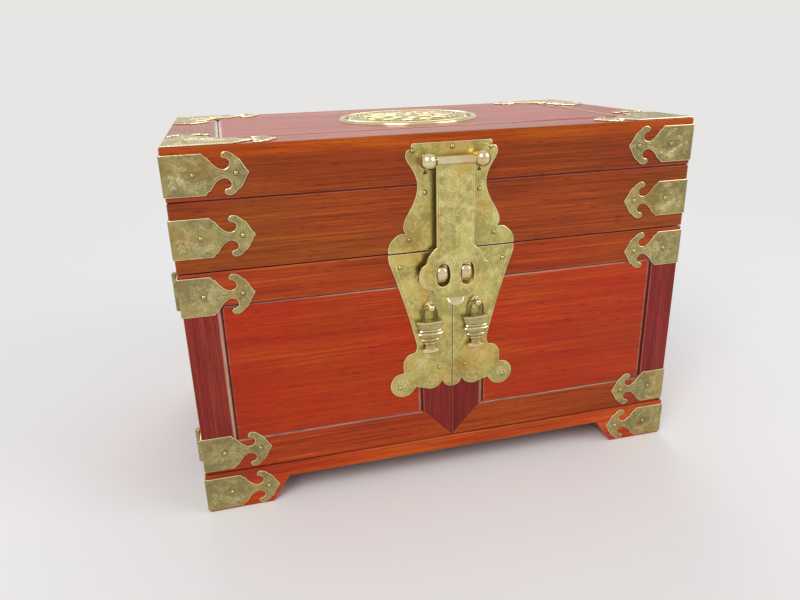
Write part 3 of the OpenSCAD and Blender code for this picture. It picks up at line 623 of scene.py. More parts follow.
def plate(outlines, thick=SHEET, edge=0.34, strokes=(), face_slot=SHEET_FACE):
    """A flat plate with rounded edges, brighter for wear and a painted highlight, and lines
    engraved in its top face.
    """
    bm = bmesh.new()
    add_mesh(bm, curve_mesh("plate", outlines, True, dimensions="2D", fill_mode="BOTH",
                            extrude=(thick / 2 - edge) * MM, bevel_depth=edge * MM,
                            bevel_resolution=1, offset=-edge * MM, resolution_u=8))
    bmesh.ops.remove_doubles(bm, verts=bm.verts, dist=2e-6)
    bmesh.ops.translate(bm, verts=bm.verts, vec=(0, 0, thick / 2 * MM))
    # Even triangles in the flat faces, so that no sliver spoils the shading
    bmesh.ops.dissolve_degenerate(bm, edges=bm.edges, dist=4e-6)
    bmesh.ops.dissolve_limit(bm, angle_limit=math.radians(0.4), verts=bm.verts,
                             edges=bm.edges)
    flat = [f for f in bm.faces if abs(f.normal.z) > FLAT]
    bmesh.ops.triangulate(bm, faces=flat, quad_method="BEAUTY", ngon_method="BEAUTY")
    # The edges get the brighter brass: wear and a painted highlight
    for face in bm.faces:
        face.smooth = False
        face.material_index = face_slot if abs(face.normal.z) > FLAT else WEAR_AND_HIGHLIGHT_EDGE
    if strokes:
        line = LOCK_LINE if face_slot == LOCK_FACE else LINE
        engrave(bm, trim(strokes, outlines), thick, line)
    return bm


def inside(outlines, x, y):
    """Whether a point lies on the plate and not in one of its holes."""
    crossings = 0
    for points in outlines:
        for (x1, y1, *_), (x2, y2, *_) in zip(points, points[1:] + points[:1]):
            if (y1 > y) != (y2 > y) and x < x1 + (y - y1) * (x2 - x1) / (y2 - y1):
                crossings += 1
    return crossings % 2 == 1


def trim(strokes, outlines, margin=0.75):
    """The parts of the strokes that stay clear of the plate's edges."""
    around = ((margin, 0), (-margin, 0), (0, margin), (0, -margin))
    kept = []
    for stroke in strokes:
        run = []
        for x, y in stroke:
            if all(inside(outlines, x + a, y + b) for a, b in around):
                run.append((x, y))
                continue
            if len(run) > 1:
                kept.append(run)
            run = []
        if len(run) > 1:
            kept.append(run)
    return kept


def engrave(bm, strokes, level, line, width=0.17, rise=0.01, flatness=0.3):
    """Lays fine bright cuts along the strokes in a face at the level; their brightness is polish
    and a painted highlight.
    """
    lines = add_mesh(bm, curve_mesh("strokes", strokes, False, dimensions="2D",
                                    fill_mode="NONE", bevel_depth=width * MM,
                                    bevel_resolution=0, resolution_u=3), line)
    for v in lines:
        v.co.z = (level + rise) * MM + v.co.z * flatness


def both_sides(points):
    """A whole outline from its right half, which runs from the top to the bottom."""
    left = [(-x, y, *sharp) for x, y, *sharp in reversed(points) if x > 0.01]
    return list(points) + left


def both_strokes(strokes):
    """Strokes, and the same ones mirrored to the left."""
    return strokes + [[(-x, y) for x, y in stroke] for stroke in strokes]


def mirrored_copy(bm, axis, about=0.0):
    """A copy of the whole mesh mirrored along X (axis 0) or Y (axis 1) across a plane."""
    copy = bm.copy()
    plane = [1, 1, 1]
    plane[axis] = -1
    for v in copy.verts:
        v.co[axis] -= about
    bmesh.ops.scale(copy, vec=plane, verts=copy.verts)
    for v in copy.verts:
        v.co[axis] += about
    bmesh.ops.reverse_faces(copy, faces=copy.faces)
    return copy


def merge(bm, *others):
    """Adds other bmeshes to the first and frees them."""
    for other in others:
        mesh = bpy.data.meshes.new("part")
        other.to_mesh(mesh)
        other.free()
        bm.from_mesh(mesh)
        bpy.data.meshes.remove(mesh)
    return bm


def in_four_corners(bm):
    """Copies a piece from the front left corner to all four."""
    left = merge(bm, mirrored_copy(bm, 1, CASE_Y * MM))
    return merge(left, mirrored_copy(left, 0))


def lathe(profile, steps=32, slot=SHEET_FACE):
    """A solid turned round the Z axis from (radius, height) points in millimetres."""
    bm = bmesh.new()
    verts = [bm.verts.new((radius * MM, 0, height * MM)) for radius, height in profile]
    edges = [bm.edges.new(pair) for pair in zip(verts, verts[1:])]
    bmesh.ops.spin(bm, geom=verts + edges, cent=(0, 0, 0), axis=(0, 0, 1), angle=math.tau,
                   steps=steps, use_merge=True)
    bmesh.ops.remove_doubles(bm, verts=bm.verts, dist=1e-7)
    bmesh.ops.recalc_face_normals(bm, faces=bm.faces)
    return paint(bm, slot)


def put(bm, matrix):
    """Moves a whole mesh, and turns its faces round where the move mirrors it."""
    bmesh.ops.transform(bm, matrix=matrix, verts=bm.verts)
    if matrix.determinant() < 0:
        bmesh.ops.reverse_faces(bm, faces=bm.faces)
    return bm


def at(x, y, z):
    """A move by millimetres."""
    return Matrix.Translation((x * MM, y * MM, z * MM))


def block(middle, size):
    """A box in millimetres."""
    bm = bmesh.new()
    bmesh.ops.create_cube(bm, size=MM)
    return put(bm, at(*middle) @ Matrix.Diagonal((*size, 1)))


def ball(radius, around, up, slot):
    """A sphere with so many faces around and from pole to pole."""
    bm = bmesh.new()
    bmesh.ops.create_uvsphere(bm, u_segments=around, v_segments=up, radius=radius * MM)
    return paint(bm, slot)


TO_FRONT = Matrix.Rotation(math.pi / 2, 4, "X")
TO_LEFT = Matrix.Rotation(-math.pi / 2, 4, "Y")
TO_RIGHT = Matrix.Rotation(math.pi / 2, 4, "Y")


def nail():
    """A domed nail head on z = 0 with a dark ring round it: dried polish and painted shade."""
    head = lathe([(0, 0.95), (0.45, 0.91), (0.85, 0.75), (1.15, 0.5), (1.35, 0.18),
                  (1.38, -0.2), (0, -0.2)], 20, CAST)
    return merge(head, lathe([(1.3, -0.1), (1.3, 0.05), (1.55, 0.05), (1.65, -0.1),
                              (1.3, -0.1)], 20, POLISH_AND_SHADE_RING))


def nails(places):
    """Nails at a list of matrices."""
    whole = bmesh.new()
    for place in places:
        merge(whole, put(nail(), place))
    return whole


# ---- Engraved scrolls and leaves ----

def polar(x, y, reach, angle):
    """The point that lies so far from (x, y), at an angle in degrees."""
    turn = math.radians(angle)
    return x + reach * math.cos(turn), y + reach * math.sin(turn)


def spiral(x, y, start, size, turns, hand=1, steps=10):
    """A stroke that winds in towards (x, y) from an angle in degrees."""
    shares = [step / steps for step in range(steps + 1)]
    return [polar(x, y, size * (1 - 0.82 * t), start + hand * turns * 360 * t) for t in shares]


def leaf(x, y, angle, length, width):
    """A pointed leaf with a midrib, as one stroke out and back."""
    cos, sin = math.cos(math.radians(angle)), math.sin(math.radians(angle))
    shape = [(0, 0), (0.35, 0.5), (0.75, 0.36), (1, 0), (0.72, -0.3), (0.32, -0.5), (0, 0),
             (0.7, 0.03)]
    return [(x + cos * a * length - sin * b * width, y + sin * a * length + cos * b * width)
            for a, b in shape]


def sprig(x, y, angle, size, hand=1):
    """A curling stem with leaves along it."""
    strokes = []
    stem = []
    heading = math.radians(angle)
    at_x, at_y = x, y
    for step in range(9):
        stem.append((at_x, at_y))
        if step in (2, 4, 6):
            turn = 48 if step % 4 else -48
            strokes.append(leaf(at_x, at_y, math.degrees(heading) + hand * turn,
                                size * (0.42 - 0.025 * step), size * 0.16))
        heading += hand * (0.10 + 0.055 * step)
        at_x += math.cos(heading) * size * 0.13
        at_y += math.sin(heading) * size * 0.13
    strokes.append(stem)
    strokes.append(spiral(at_x - math.sin(heading) * hand * size * 0.1,
                          at_y + math.cos(heading) * hand * size * 0.1,
                          math.degrees(heading) - hand * 90, size * 0.1, 1.1, hand, 7))
    return strokes


def rosette(x, y, size, petals=6):
    """A flower seen from the front."""
    turn = 360 / petals
    strokes = [leaf(*polar(x, y, 0.22 * size, turn * n), turn * n, size * 0.8, size * 0.62)
               for n in range(petals)]
    return strokes + [[polar(x, y, 0.2 * size, 45 * n) for n in range(9)]]


def fern(x, y, angle, length, height, pairs=5, lean=40):
    """A fern: a midrib with pairs of narrow leaves that lean towards its tip."""
    strokes = [[(x, y), polar(x, y, length, angle)]]
    for n in range(pairs):
        t = (n + 0.3) / pairs
        reach = height * (0.45 + 0.35 * math.sin(math.pi * min(1, t * 1.1)))
        for side in (1, -1):
            strokes.append(leaf(*polar(x, y, length * t, angle),
                                angle + side * (lean - 12 * t), reach, height * 0.13))
    return strokes


def almond(x, y, length, height):
    """Two arcs along +X that meet in a tip, with fingers fanned between them."""
    shape = ((0, 0.86), (0.22, 1.0), (0.45, 0.92), (0.68, 0.62), (0.86, 0.24), (1, 0))
    arcs = [[(x + length * a, y + side * height * b) for a, b in shape] for side in (1, -1)]
    fingers = [leaf(x + length * (0.08 + 0.03 * (n % 3)), y + height * 0.1 * (n - 2.5),
                    22 * (n - 2.5), length * 0.42, height * 0.2) for n in range(6)]
    tips = [leaf(x + length * 0.58, y + height * 0.16 * side, 9 * side, length * 0.28,
                 height * 0.16) for side in (1, -1)]
    return arcs + fingers + tips


# ---- Straps ----

STRAP_REACH = 44.8
STRAP_TALL = 22.4
STRAP_HEAD = [  # a strap's upper edge from its shoulder to its tip
    (21.0, 11.2, CORNER), (22.5, 9.3, CORNER), (23.6, 9.0, CORNER), (24.6, 7.5), (26.1, 5.5),
    (27.8, 3.9), (29.6, 2.8), (31.2, 2.4), (32.8, 2.7), (34.0, 3.5), (34.8, 4.8), (34.9, 6.1),
    (34.3, 7.2), (33.2, 8.0), (32.1, 8.2), (31.2, 8.8), (30.9, 9.8), (31.6, 11.0),
    (33.4, 11.7), (35.4, 11.3), (37.1, 10.1), (38.6, 8.7), (39.7, 8.1, CORNER), (40.8, 6.7),
    (42.2, 4.2), (43.5, 1.9, CORNER), (44.2, 1.1), (44.8, 0, CORNER)]


def strap_end(reach, tall):
    """A strap's outline from one shoulder round the tip to the other."""
    upper = [(x + reach - STRAP_REACH, y * tall / STRAP_TALL, *sharp)
             for x, y, *sharp in STRAP_HEAD]
    return upper + [(x, -y, *sharp) for x, y, *sharp in reversed(upper[:-1])]


def strap_outline(reach, tall, back=0.0):
    """A strap whose other end is square, at x = back."""
    return [(back, -tall / 2, CORNER), (back, tall / 2, CORNER)] + strap_end(reach, tall)


def double_strap_outline(reach, tall):
    """A strap with a head at both ends, before it is bent round a corner."""
    right = strap_end(reach, tall)
    return right + [(-x, -y, *sharp) for x, y, *sharp in right]


def head_strokes(reach):
    """Lines in a strap's head and neck."""
    end = reach - STRAP_REACH
    return [leaf(37.6 + end, 3.4, 62, 5.2, 2.2), leaf(37.6 + end, -3.4, -62, 5.2, 2.2),
            leaf(40.2 + end, 0, 0, 3.6, 1.7),
            [(23.5 + end, 5.6), (26 + end, 3.2), (29 + end, 1.3), (32 + end, 0.9)],
            [(23.5 + end, -5.6), (26 + end, -3.2), (29 + end, -1.3), (32 + end, -0.9)]]


def strap_strokes(reach, tall):
    """Leaf sprays round a strap's nails."""
    end = reach - STRAP_REACH
    grow = tall / STRAP_TALL
    return (head_strokes(reach) + fern(6.5, -1.5 * grow, -32, 11, 6.5, 5, 34)
            + fern(12.5 + end, -8.2 * grow, 24, 10, 5, 4, 36)
            + sprig(20.5 + end, -6.6 * grow, 150, 7, 1) + sprig(3.6, 7.2 * grow, -12, 12, -1)
            + sprig(19 + end, 4.6 * grow, 160, 10, -1) + fern(3.4, 1.2 * grow, -80, 8, 4, 3, 42)
            + [spiral(20.4 + end, -7.4 * grow, 40, 1.7, 1.2, 1, 8),
               spiral(17.2 + end, 6.6 * grow, 200, 1.9, 1.2, -1, 8)])


def hinge_strap_strokes(reach, tall):
    """A palm spray along a hinge's strap."""
    blades = [leaf(12.6 + 3.0 * math.cos(math.radians(a)), 3.2 * math.sin(math.radians(a)), a,
                   4.6, 1.4) for a in (112, 144, 176, 208, 240, 268)]
    return (head_strokes(reach) + almond(13.6, 0, reach - 27.6, tall * 0.185) + blades
            + sprig(4.2, tall * 0.34, -6, 9, -1) + sprig(14.5, -tall * 0.31, 190, 9, 1))


BEND = 0.6  # inner radius of a strap's bend, in millimetres
BEND_ALLOWANCE = BEND * (1 - math.pi / 4)  # what each leg gains when the strap is bent


def bend_round_corner(bm):
    """Bends a flat strap in the middle: +X goes along the front, -X along the side."""
    half_arc = BEND * math.pi / 4
    for step in range(-3, 4):
        bmesh.ops.bisect_plane(bm, geom=bm.verts[:] + bm.edges[:] + bm.faces[:], dist=1e-7,
                               plane_co=(half_arc * step / 3 * MM, 0, 0), plane_no=(1, 0, 0))
    for v in bm.verts:
        along, up, out = v.co.x / MM, v.co.y, v.co.z / MM
        if abs(along) <= half_arc:
            turn = math.pi / 4 + along / BEND
            x = BEND - (BEND + out) * math.cos(turn)
            y = BEND - (BEND + out) * math.sin(turn)
        elif along > 0:
            x, y = BEND + along - half_arc, -out
        else:
            x, y = -out, BEND - along - half_arc
        v.co = (x * MM, y * MM, up)


def finish_brass(bm, name, body, replaces):
    finish_piece(bm, name, body, BRASS_SET, [replaces])


STRAP_NAILS = (15.2, 37.8)  # from the corner


def corner_straps(name, body, levels, lip, replaces):
    """Straps bent round the four corners at each level."""
    reach = STRAP_REACH - BEND_ALLOWANCE
    strap = plate([double_strap_outline(reach, STRAP_TALL)],
                  strokes=both_strokes(strap_strokes(reach, STRAP_TALL)))
    bend_round_corner(strap)
    whole = bmesh.new()
    for level in levels:
        merge(whole, put(strap.copy(), at(-HALF_W - lip, FRONT_Y - lip, level)))
    strap.free()
    finish_brass(in_four_corners(whole), name, body, replaces)


def corner_nail_places(level, lip):
    """Where the nails of a corner strap go, on its front and side legs."""
    out = lip + SHEET
    return ([at(-HALF_W - lip + run, FRONT_Y - out, level) @ TO_FRONT for run in STRAP_NAILS]
            + [at(-HALF_W - out, FRONT_Y - lip + run, level) @ TO_LEFT for run in STRAP_NAILS])


LID_STRAPS = (SEAM_Z + 19.6, SEAM_Z + 54)
FOOT_STRAP = 12.9
corner_straps("lid_corner_straps", "lid", LID_STRAPS, 0, "lid_straps")
corner_straps("foot_straps", "case", [FOOT_STRAP], PLINTH_LIP, "plinth_straps")

# ---- Hinges ----

AXIS_OUT = 2.1
KNUCKLE_R = 2.0
KNUCKLE_GAP = 0.25
DOOR_AXIS_IN = 14.25  # behind the doors' faces
DOOR_AXIS_Y = FRONT_Y + DOOR_AXIS_IN
DOOR_STRAPS = (40.6, 142.9)
DOOR_STRAP_TALL = 23.1
DOOR_STRAP_REACH = 41.3
NAIL_TO_TIP = 7
LID_AXIS = (BACK_Y + AXIS_OUT, SEAM_Z + 0.1)
LID_LEAF = (34, 26)
LID_HINGES = (-98, 98)
# From a plate on z = 0 to a leaf that runs along +Y from the axis and looks towards -X
PLATE_TO_LEAF = Matrix(((0, 0, -1, AXIS_OUT * MM), (1, 0, 0, (KNUCKLE_R + KNUCKLE_GAP) * MM),
                        (0, -1, 0, 0), (0, 0, 0, 1)))
LEAF_UP = Matrix(((0, 0, 1, 0), (-1, 0, 0, 0), (0, 1, 0, 0), (0, 0, 0, 1)))
LEAF_DOWN = Matrix(((0, 0, 1, 0), (-1, 0, 0, 0), (0, -1, 0, 0), (0, 0, 0, 1)))
MIRROR_X = Matrix.Diagonal((-1, 1, 1, 1))
MIRROR_Y = Matrix.Diagonal((1, -1, 1, 1))


def knuckles(tall, middle):
    """Rolled knuckles round the Z axis, with the sheet that runs on to the leaf."""
    third = tall / 3
    length = third - KNUCKLE_GAP
    whole = bmesh.new()
    for n in ((1,) if middle else (0, 2)):
        start = n * third + KNUCKLE_GAP / 2 - tall / 2
        roll = lathe([(1.15, 0), (1.75, 0), (KNUCKLE_R, 0.25), (KNUCKLE_R, length - 0.25),
                      (1.75, length), (1.15, length), (1.15, 0)], 28)
        merge(whole, put(roll, at(0, 0, start)),
              block((AXIS_OUT - SHEET / 2, 1.15, start + length / 2), (SHEET, 2.3, length)))
    return whole


def hinge_leaf(outline, strokes, tall, middle):
    """A leaf with its knuckles, centred on its axis, which is the Z axis."""
    return merge(put(plate([outline], strokes=strokes), PLATE_TO_LEAF), knuckles(tall, middle))


def leaf_nail_places(reach):
    return [PLATE_TO_LEAF @ at(run, 0, SHEET) for run in (reach * 0.33, reach - NAIL_TO_TIP)]


side_leaves = bmesh.new()
side_nails = []
for level in DOOR_STRAPS:
    place = at(-HALF_W - AXIS_OUT, DOOR_AXIS_Y, level)
    leaf_plate = hinge_leaf(strap_outline(DOOR_STRAP_REACH, DOOR_STRAP_TALL),
                            hinge_strap_strokes(DOOR_STRAP_REACH, DOOR_STRAP_TALL),
                            DOOR_STRAP_TALL, True)
    merge(side_leaves, put(leaf_plate, place))
    side_nails += [place @ spot for spot in leaf_nail_places(DOOR_STRAP_REACH)]
merge(side_leaves, mirrored_copy(side_leaves, 0))
finish_brass(side_leaves, "door_hinge_side_leaves", "case", "door_hinge_leaves")
side_nails += [MIRROR_X @ spot for spot in side_nails]

back_nails = {}
for name, body, frame_turn, middle in (
        ("lid_hinge_lower_leaves", "case", LEAF_DOWN, True),
        ("lid_hinge_upper_leaves", "lid", LEAF_UP, False)):
    whole = bmesh.new()
    back_nails[body] = []
    for x in LID_HINGES:
        place = at(x, *LID_AXIS) @ frame_turn
        merge(whole, put(hinge_leaf(strap_outline(*LID_LEAF), head_strokes(LID_LEAF[0]),
                                    LID_LEAF[1], middle), place))
        back_nails[body] += [place @ spot for spot in leaf_nail_places(LID_LEAF[0])]
    finish_brass(whole, name + "_plates", body, name)

door_reach = DOOR_STRAP_REACH - BEND_ALLOWANCE
flap = DOOR_AXIS_IN - KNUCKLE_R - KNUCKLE_GAP - BEND_ALLOWANCE
for side, _ in SIDES:
    whole = bmesh.new()
    for level in DOOR_STRAPS:
        strap = plate([strap_outline(door_reach, DOOR_STRAP_TALL, -flap)],
                      strokes=hinge_strap_strokes(door_reach, DOOR_STRAP_TALL))
        bend_round_corner(strap)
        merge(whole, put(strap, at(-HALF_W, FRONT_Y, level)))
        merge(whole, put(knuckles(DOOR_STRAP_TALL, False),
                         at(-HALF_W - AXIS_OUT, DOOR_AXIS_Y, level) @ MIRROR_Y))
    if side == "right":
        put(whole, MIRROR_X)
    finish_brass(whole, f"door_{side}_straps", f"door_{side}", f"door_{side}_hinge_straps")


def pin(half):
    """A hinge pin along the Z axis with its ends eased."""
    return lathe([(0, -half), (0.9, -half), (1.1, 0.2 - half), (1.1, half - 0.2), (0.9, half),
                  (0, half)], 24)


hinge_pins = merge(*[put(pin(11.4), at(sign * (HALF_W + AXIS_OUT), DOOR_AXIS_Y, level))
                     for level in DOOR_STRAPS for _, sign in SIDES],
                   *[put(pin(12.9), at(x, *LID_AXIS) @ TO_RIGHT) for x in LID_HINGES])
finish_brass(hinge_pins, "hinge_rivets", "case", "hinge_pins")

# ---- Corner plates and medallion of the lid's top ----

TOP_LEG = (61, 24)  # reach and width of a corner plate's legs
TOP_INSET = 1  # from the lid's edges
TOP_NAILS = ((12, 12), (54, 12), (12, 54))


def corner_plate_outline():
    """Two strap heads at right angles with a lobe between them; the corner is at (0, 0)."""
    leg = [(x, y + TOP_LEG[1] / 2, *sharp) for x, y, *sharp in reversed(strap_end(*TOP_LEG))]
    other = [(y, x, *sharp) for x, y, *sharp in reversed(leg)]
    lobe = [(31, 24, CORNER), (29.4, 27.2), (27.2, 29.4), (24, 31, CORNER)]
    return [(0, 0, CORNER)] + leg + lobe + other


def corner_plate_strokes():
    """Scrolls along both legs with a flower and a leaf where they meet."""
    leg = [[(x, y + TOP_LEG[1] / 2) for x, y in stroke]
           for stroke in head_strokes(TOP_LEG[0])]
    leg += sprig(19, 9, 12, 20, 1) + sprig(33, 19, -170, 13, 1)
    leg += [[(2.4, 1.8), (20, 1.7), (36, 1.9)]]
    return (leg + [[(y, x) for x, y in stroke] for stroke in leg]
            + rosette(22.5, 22.5, 5.4) + [leaf(6, 6, 45, 12, 4.2)])


top_corner = put(plate([corner_plate_outline()], strokes=corner_plate_strokes()),
                 at(-HALF_W + TOP_INSET, FRONT_Y + TOP_INSET, TOP_Z))
finish_brass(in_four_corners(top_corner), "lid_top_corner_plates", "lid", "lid_corner_plates")

PETAL_RINGS = (  # how many, ring radius, length, width, height, turn as a share of a step
    (8, 13.5, 8.2, 4.9, 1.75, 0), (12, 24.5, 7.6, 5.2, 1.5, 0.5))
BEAD_RINGS = (  # how many, ring radius, bead radius, height
    (48, 40.6, 0.9, 0.65), (8, 6.6, 0.6, 2.2), (1, 0, 3.4, 1.0), (32, 32.6, 0.7, 1.1))
BEAD_HIGHEST = 1.9  # a larger bead is flattened


def make_medallion():
    """A cast medallion: a lotus with two rings of petals inside a beaded border."""
    whole = lathe([(0, 2.3), (8, 2.25), (12, 1.3), (33.5, 1.1), (34.2, 1.5), (35.6, 1.6),
                   (36.3, 1.1), (38.2, 1.0), (39.2, 0.7), (43.8, 0.6), (44, 0.1), (0, 0.1)],
                  72)
    for count, ring, length, width, height, turn in PETAL_RINGS:
        for n in range(count):
            petal = ball(1, 20, 10, CAST)
            for v in petal.verts:
                v.co.y *= 1 - 0.45 * max(0.0, v.co.x / MM) ** 2
            merge(whole, put(petal, Matrix.Rotation(math.tau * (n + turn) / count, 4, "Z")
                             @ at(ring, 0, 0.9) @ Matrix.Diagonal((length, width, height, 1))))
    for count, ring, size, level in BEAD_RINGS:
        for n in range(count):
            bead = ball(size, 12, 8, POLISHED)
            for v in bead.verts:
                v.co.z *= min(1.0, BEAD_HIGHEST / size)
            merge(whole, put(bead, Matrix.Rotation(math.tau * n / count, 4, "Z")
                             @ at(ring, 0, level)))
    # A thin dark ring just inside the border, in the same dark material as the rings round the
    # nails
    merge(whole, lathe([(42.6, 0.1), (42.6, 0.72), (44.1, 0.72), (44.1, 0.1), (42.6, 0.1)],
                       72, POLISH_AND_SHADE_RING))
    finish_brass(put(whole, at(0, CASE_Y, TOP_Z)), "medallion_lotus", "lid", "medallion")
    rim = lathe([(44.0, 0.0), (44.0, 0.35), (44.35, 1.15), (45.1, 1.8), (46.0, 2.0),
                 (46.9, 1.8), (47.65, 1.15), (48.0, 0.35), (48.0, 0.0), (44.0, 0.0)], 96,
                POLISHED)
    finish_brass(put(rim, at(0, CASE_Y, TOP_Z)), "medallion_border", "lid", "medallion_rim")


# ---- Lock plates and hasp ----

UPPER_PLATE = both_sides([
    (0, 63.8), (23.4, 63.8, CORNER), (24.6, 62.6), (24.8, 60.9, CORNER), (27.2, 59.7),
    (28.2, 57.4), (27.6, 54.6), (25.0, 50.2), (22.6, 45.6), (21.4, 40.5), (21.8, 35.8),
    (23.4, 30.8), (26.2, 25.4), (29.1, 20.4), (30.3, 16.8), (30.1, 13.8), (28.9, 11.7, CORNER),
    (32.2, 11.7), (36.2, 9.3), (38.9, 6.1), (40.0, 2.2), (40.0, 0.2, CORNER), (0, 0.2)])


def arc(circle, start, end, steps):
    """Points on a circle (x, y, radius) between two angles in degrees, ends left out."""
    return [polar(*circle, start + (end - start) * n / steps) for n in range(1, steps)]


LOWER_PLATE = (  # the right door's lock plate: a taper down to four cloud scallops
    [(0.25, -0.5, CORNER), (40.1, -0.5, CORNER), (39.9, -4.5), (38.3, -9.6), (35.9, -16.5),
     (24.6, -55.8), (23.4, -62.6), (24.6, -66.0, CORNER)]
    + arc((24.5, -74, 8), 88, -8, 5) + [(32.3, -79.4, CORNER)]
    + arc((32.9, -87.7, 8.3), 88, -152, 9) + [(24.6, -90.2, CORNER)]
    + arc((14.3, -84.5, 8.4), -38, -152, 5) + [(6.6, -88.0, CORNER)]
    + arc((0, -86.5, 6.6), -20, -78, 3) + [(0.25, -93.1, CORNER)])

HASP_FACE = both_sides([
    (0, 0.2), (11.7, 0.2, CORNER), (11.7, -51, CORNER), (14.6, -53.6), (17.2, -57.2),
    (18.2, -60.6, CORNER), (21.4, -63.2), (22.8, -68.0), (21.7, -72.8), (18.2, -76.2),
    (14.2, -77.0, CORNER), (12.6, -80.2), (9.6, -82.8), (5.4, -83.7, CORNER), (0, -83.7)])
SLOT_X = 7.7
SLOT_DOWN = 68.5  # below the hasp's rod


def slot_outline(x, y):
    """A long hole for a staple, round its middle."""
    return [(x + a, y + b) for a, b in ((-4.2, 3), (-2.97, 5.97), (0, 7.2), (2.97, 5.97),
                                        (4.2, 3), (4.2, -3), (2.97, -5.97), (0, -7.2),
                                        (-2.97, -5.97), (-4.2, -3))]


upper_strokes = both_strokes(sprig(16.5, 32, 80, 9, -1) + sprig(27, 22, 245, 12, 1)
                             + sprig(34, 5, 165, 11, -1) + sprig(18, 24, -75, 14, 1)
                             + [[(15, 61.6), (19, 61.8), (22.5, 60.4), (26, 57.6)]])
upper = plate([UPPER_PLATE], strokes=upper_strokes, face_slot=LOCK_FACE)
for x in (-16.6, 16.6):  # a small dark triangle just under each ball
    mark = plate([[(x - 1.5, 46.0, CORNER), (x + 1.5, 46.0, CORNER), (x, 48.8, CORNER)]], 0.12,
                 0.03)
    merge(upper, put(paint(mark, POLISH_AND_SHADE_RING, False), at(0, 0, SHEET - 0.06)))
put(upper, at(0, FRONT_Y, SEAM_Z) @ TO_FRONT)
finish_brass(upper, "hasp_back_plate", "lid", "hasp_plate")

lower_strokes = (sprig(32, -14, 240, 13, -1) + sprig(22, -26, 250, 14, 1)
                 + sprig(6, -24, 280, 11, 1) + sprig(5, -52, 290, 12, 1)
                 + sprig(19, -64, 215, 12, 1) + rosette(21, -74, 4.4) + rosette(32.9, -87.7, 4.6)
                 + [spiral(13.5, -85.2, -40, 5.0, 1.1, -1), spiral(4.2, -86.6, -60, 3.2, 0.9, -1),
                    [(36.9, -3), (35.3, -9), (33, -16.5), (22.6, -53), (21.2, -60)]])
for side, _ in SIDES:
    lower = put(plate([LOWER_PLATE], strokes=lower_strokes, face_slot=LOCK_FACE),
                at(0, FRONT_Y, SEAM_Z) @ TO_FRONT)
    if side == "left":
        put(lower, MIRROR_X)
    finish_brass(lower, f"door_{side}_plate", f"door_{side}", f"door_{side}_lock_plate")

ROD_OUT = 7.0
ROD_Z = SEAM_Z + 54
BALL_X = 16.3
BALL_R = 5.1
BALL_AHEAD = 4.4  # how far the balls reach in front of the rod's axis
HASP_T = 1.4
HASP_BACK = 0.4  # how far the strap's middle hangs behind the rod's axis
TIP_DOWN = 84  # below the rod
TIP_CURL = 38  # degrees


def make_hasp():
    """The hasp: an engraved strap with a rolled knuckle, two slots and a curled tip."""
    vine = [[(1.1 * math.sin(n * 0.9), -6 - n * 4.4) for n in range(11)]]
    for n in range(9):
        side = 1 if n % 2 else -1
        vine += [leaf(0.4 * side, -9 - n * 4.6, 90 - side * 55, 7.2, 3.0),
                 spiral(5.6 * side, -12.0 - n * 4.6, 90, 2.3, 1.2, side, 7),
                 leaf(8.6 * side, -8.4 - n * 4.6, 90 + side * 20, 3.4, 1.6),
                 spiral(-4.4 * side, -8.6 - n * 4.6, -60, 1.9, 1.1, -side, 7),
                 leaf(-6.6 * side, -11.6 - n * 4.6, 90 + side * 50, 4.0, 1.5),
                 leaf(-8.8 * side, -9.4 - n * 4.6, 270 - side * 25, 2.8, 1.2)]
    border = [[(10.2, -3.5), (10.2, -50.2)],
              [(10.2, -50.2), (13.4, -53.6), (16, -57.6), (16.6, -61), (20, -64),
               (21.2, -68), (20.2, -72.2), (17.4, -74.9), (13.2, -75.7)]]
    lower_half = (border + sprig(4, -52, -35, 12, -1) + sprig(13.4, -64, 62, 8, 1)
                  + sprig(16.6, -66, -80, 9, -1) + sprig(2.5, -79.5, 40, 9, 1)
                  + [leaf(3, -77.5, -20, 6, 2.4), leaf(1.6, -70, 80, 5.5, 2.2)])
    slots = [slot_outline(sign * SLOT_X, -SLOT_DOWN) for sign in (1, -1)]
    bm = plate([HASP_FACE, *slots], HASP_T, 0.4,
               vine + rosette(0, -59.5, 4.4) + both_strokes(lower_half), LOCK_FACE)
    face_y = FRONT_Y - ROD_OUT + HASP_BACK + HASP_T / 2
    put(bm, at(0, face_y, ROD_Z) @ TO_FRONT)
    # The strap's top is rolled round the rod
    roll = lathe([(1.55, -11.7), (2.35, -11.7), (2.65, -11.4), (2.65, 11.4), (2.35, 11.7),
                  (1.55, 11.7), (1.55, -11.7)], 40, POLISHED)
    merge(bm, put(roll, at(0, FRONT_Y - ROD_OUT, ROD_Z) @ TO_RIGHT))
    tip = plate([[(-5.3, 1.2, CORNER), (-5.2, -1.0), (-3.6, -4.0), (0, -5.4), (3.6, -4.0),
                  (5.2, -1.0), (5.3, 1.2, CORNER)]], HASP_T, 0.5)
    curl = Matrix.Rotation(math.pi / 2 - math.radians(TIP_CURL), 4, "X")
    merge(bm, put(paint(tip, POLISHED, False), at(0, face_y, ROD_Z - TIP_DOWN) @ curl))
    finish_brass(bm, "hasp_engraved_strap", "hasp", "hasp_strap")


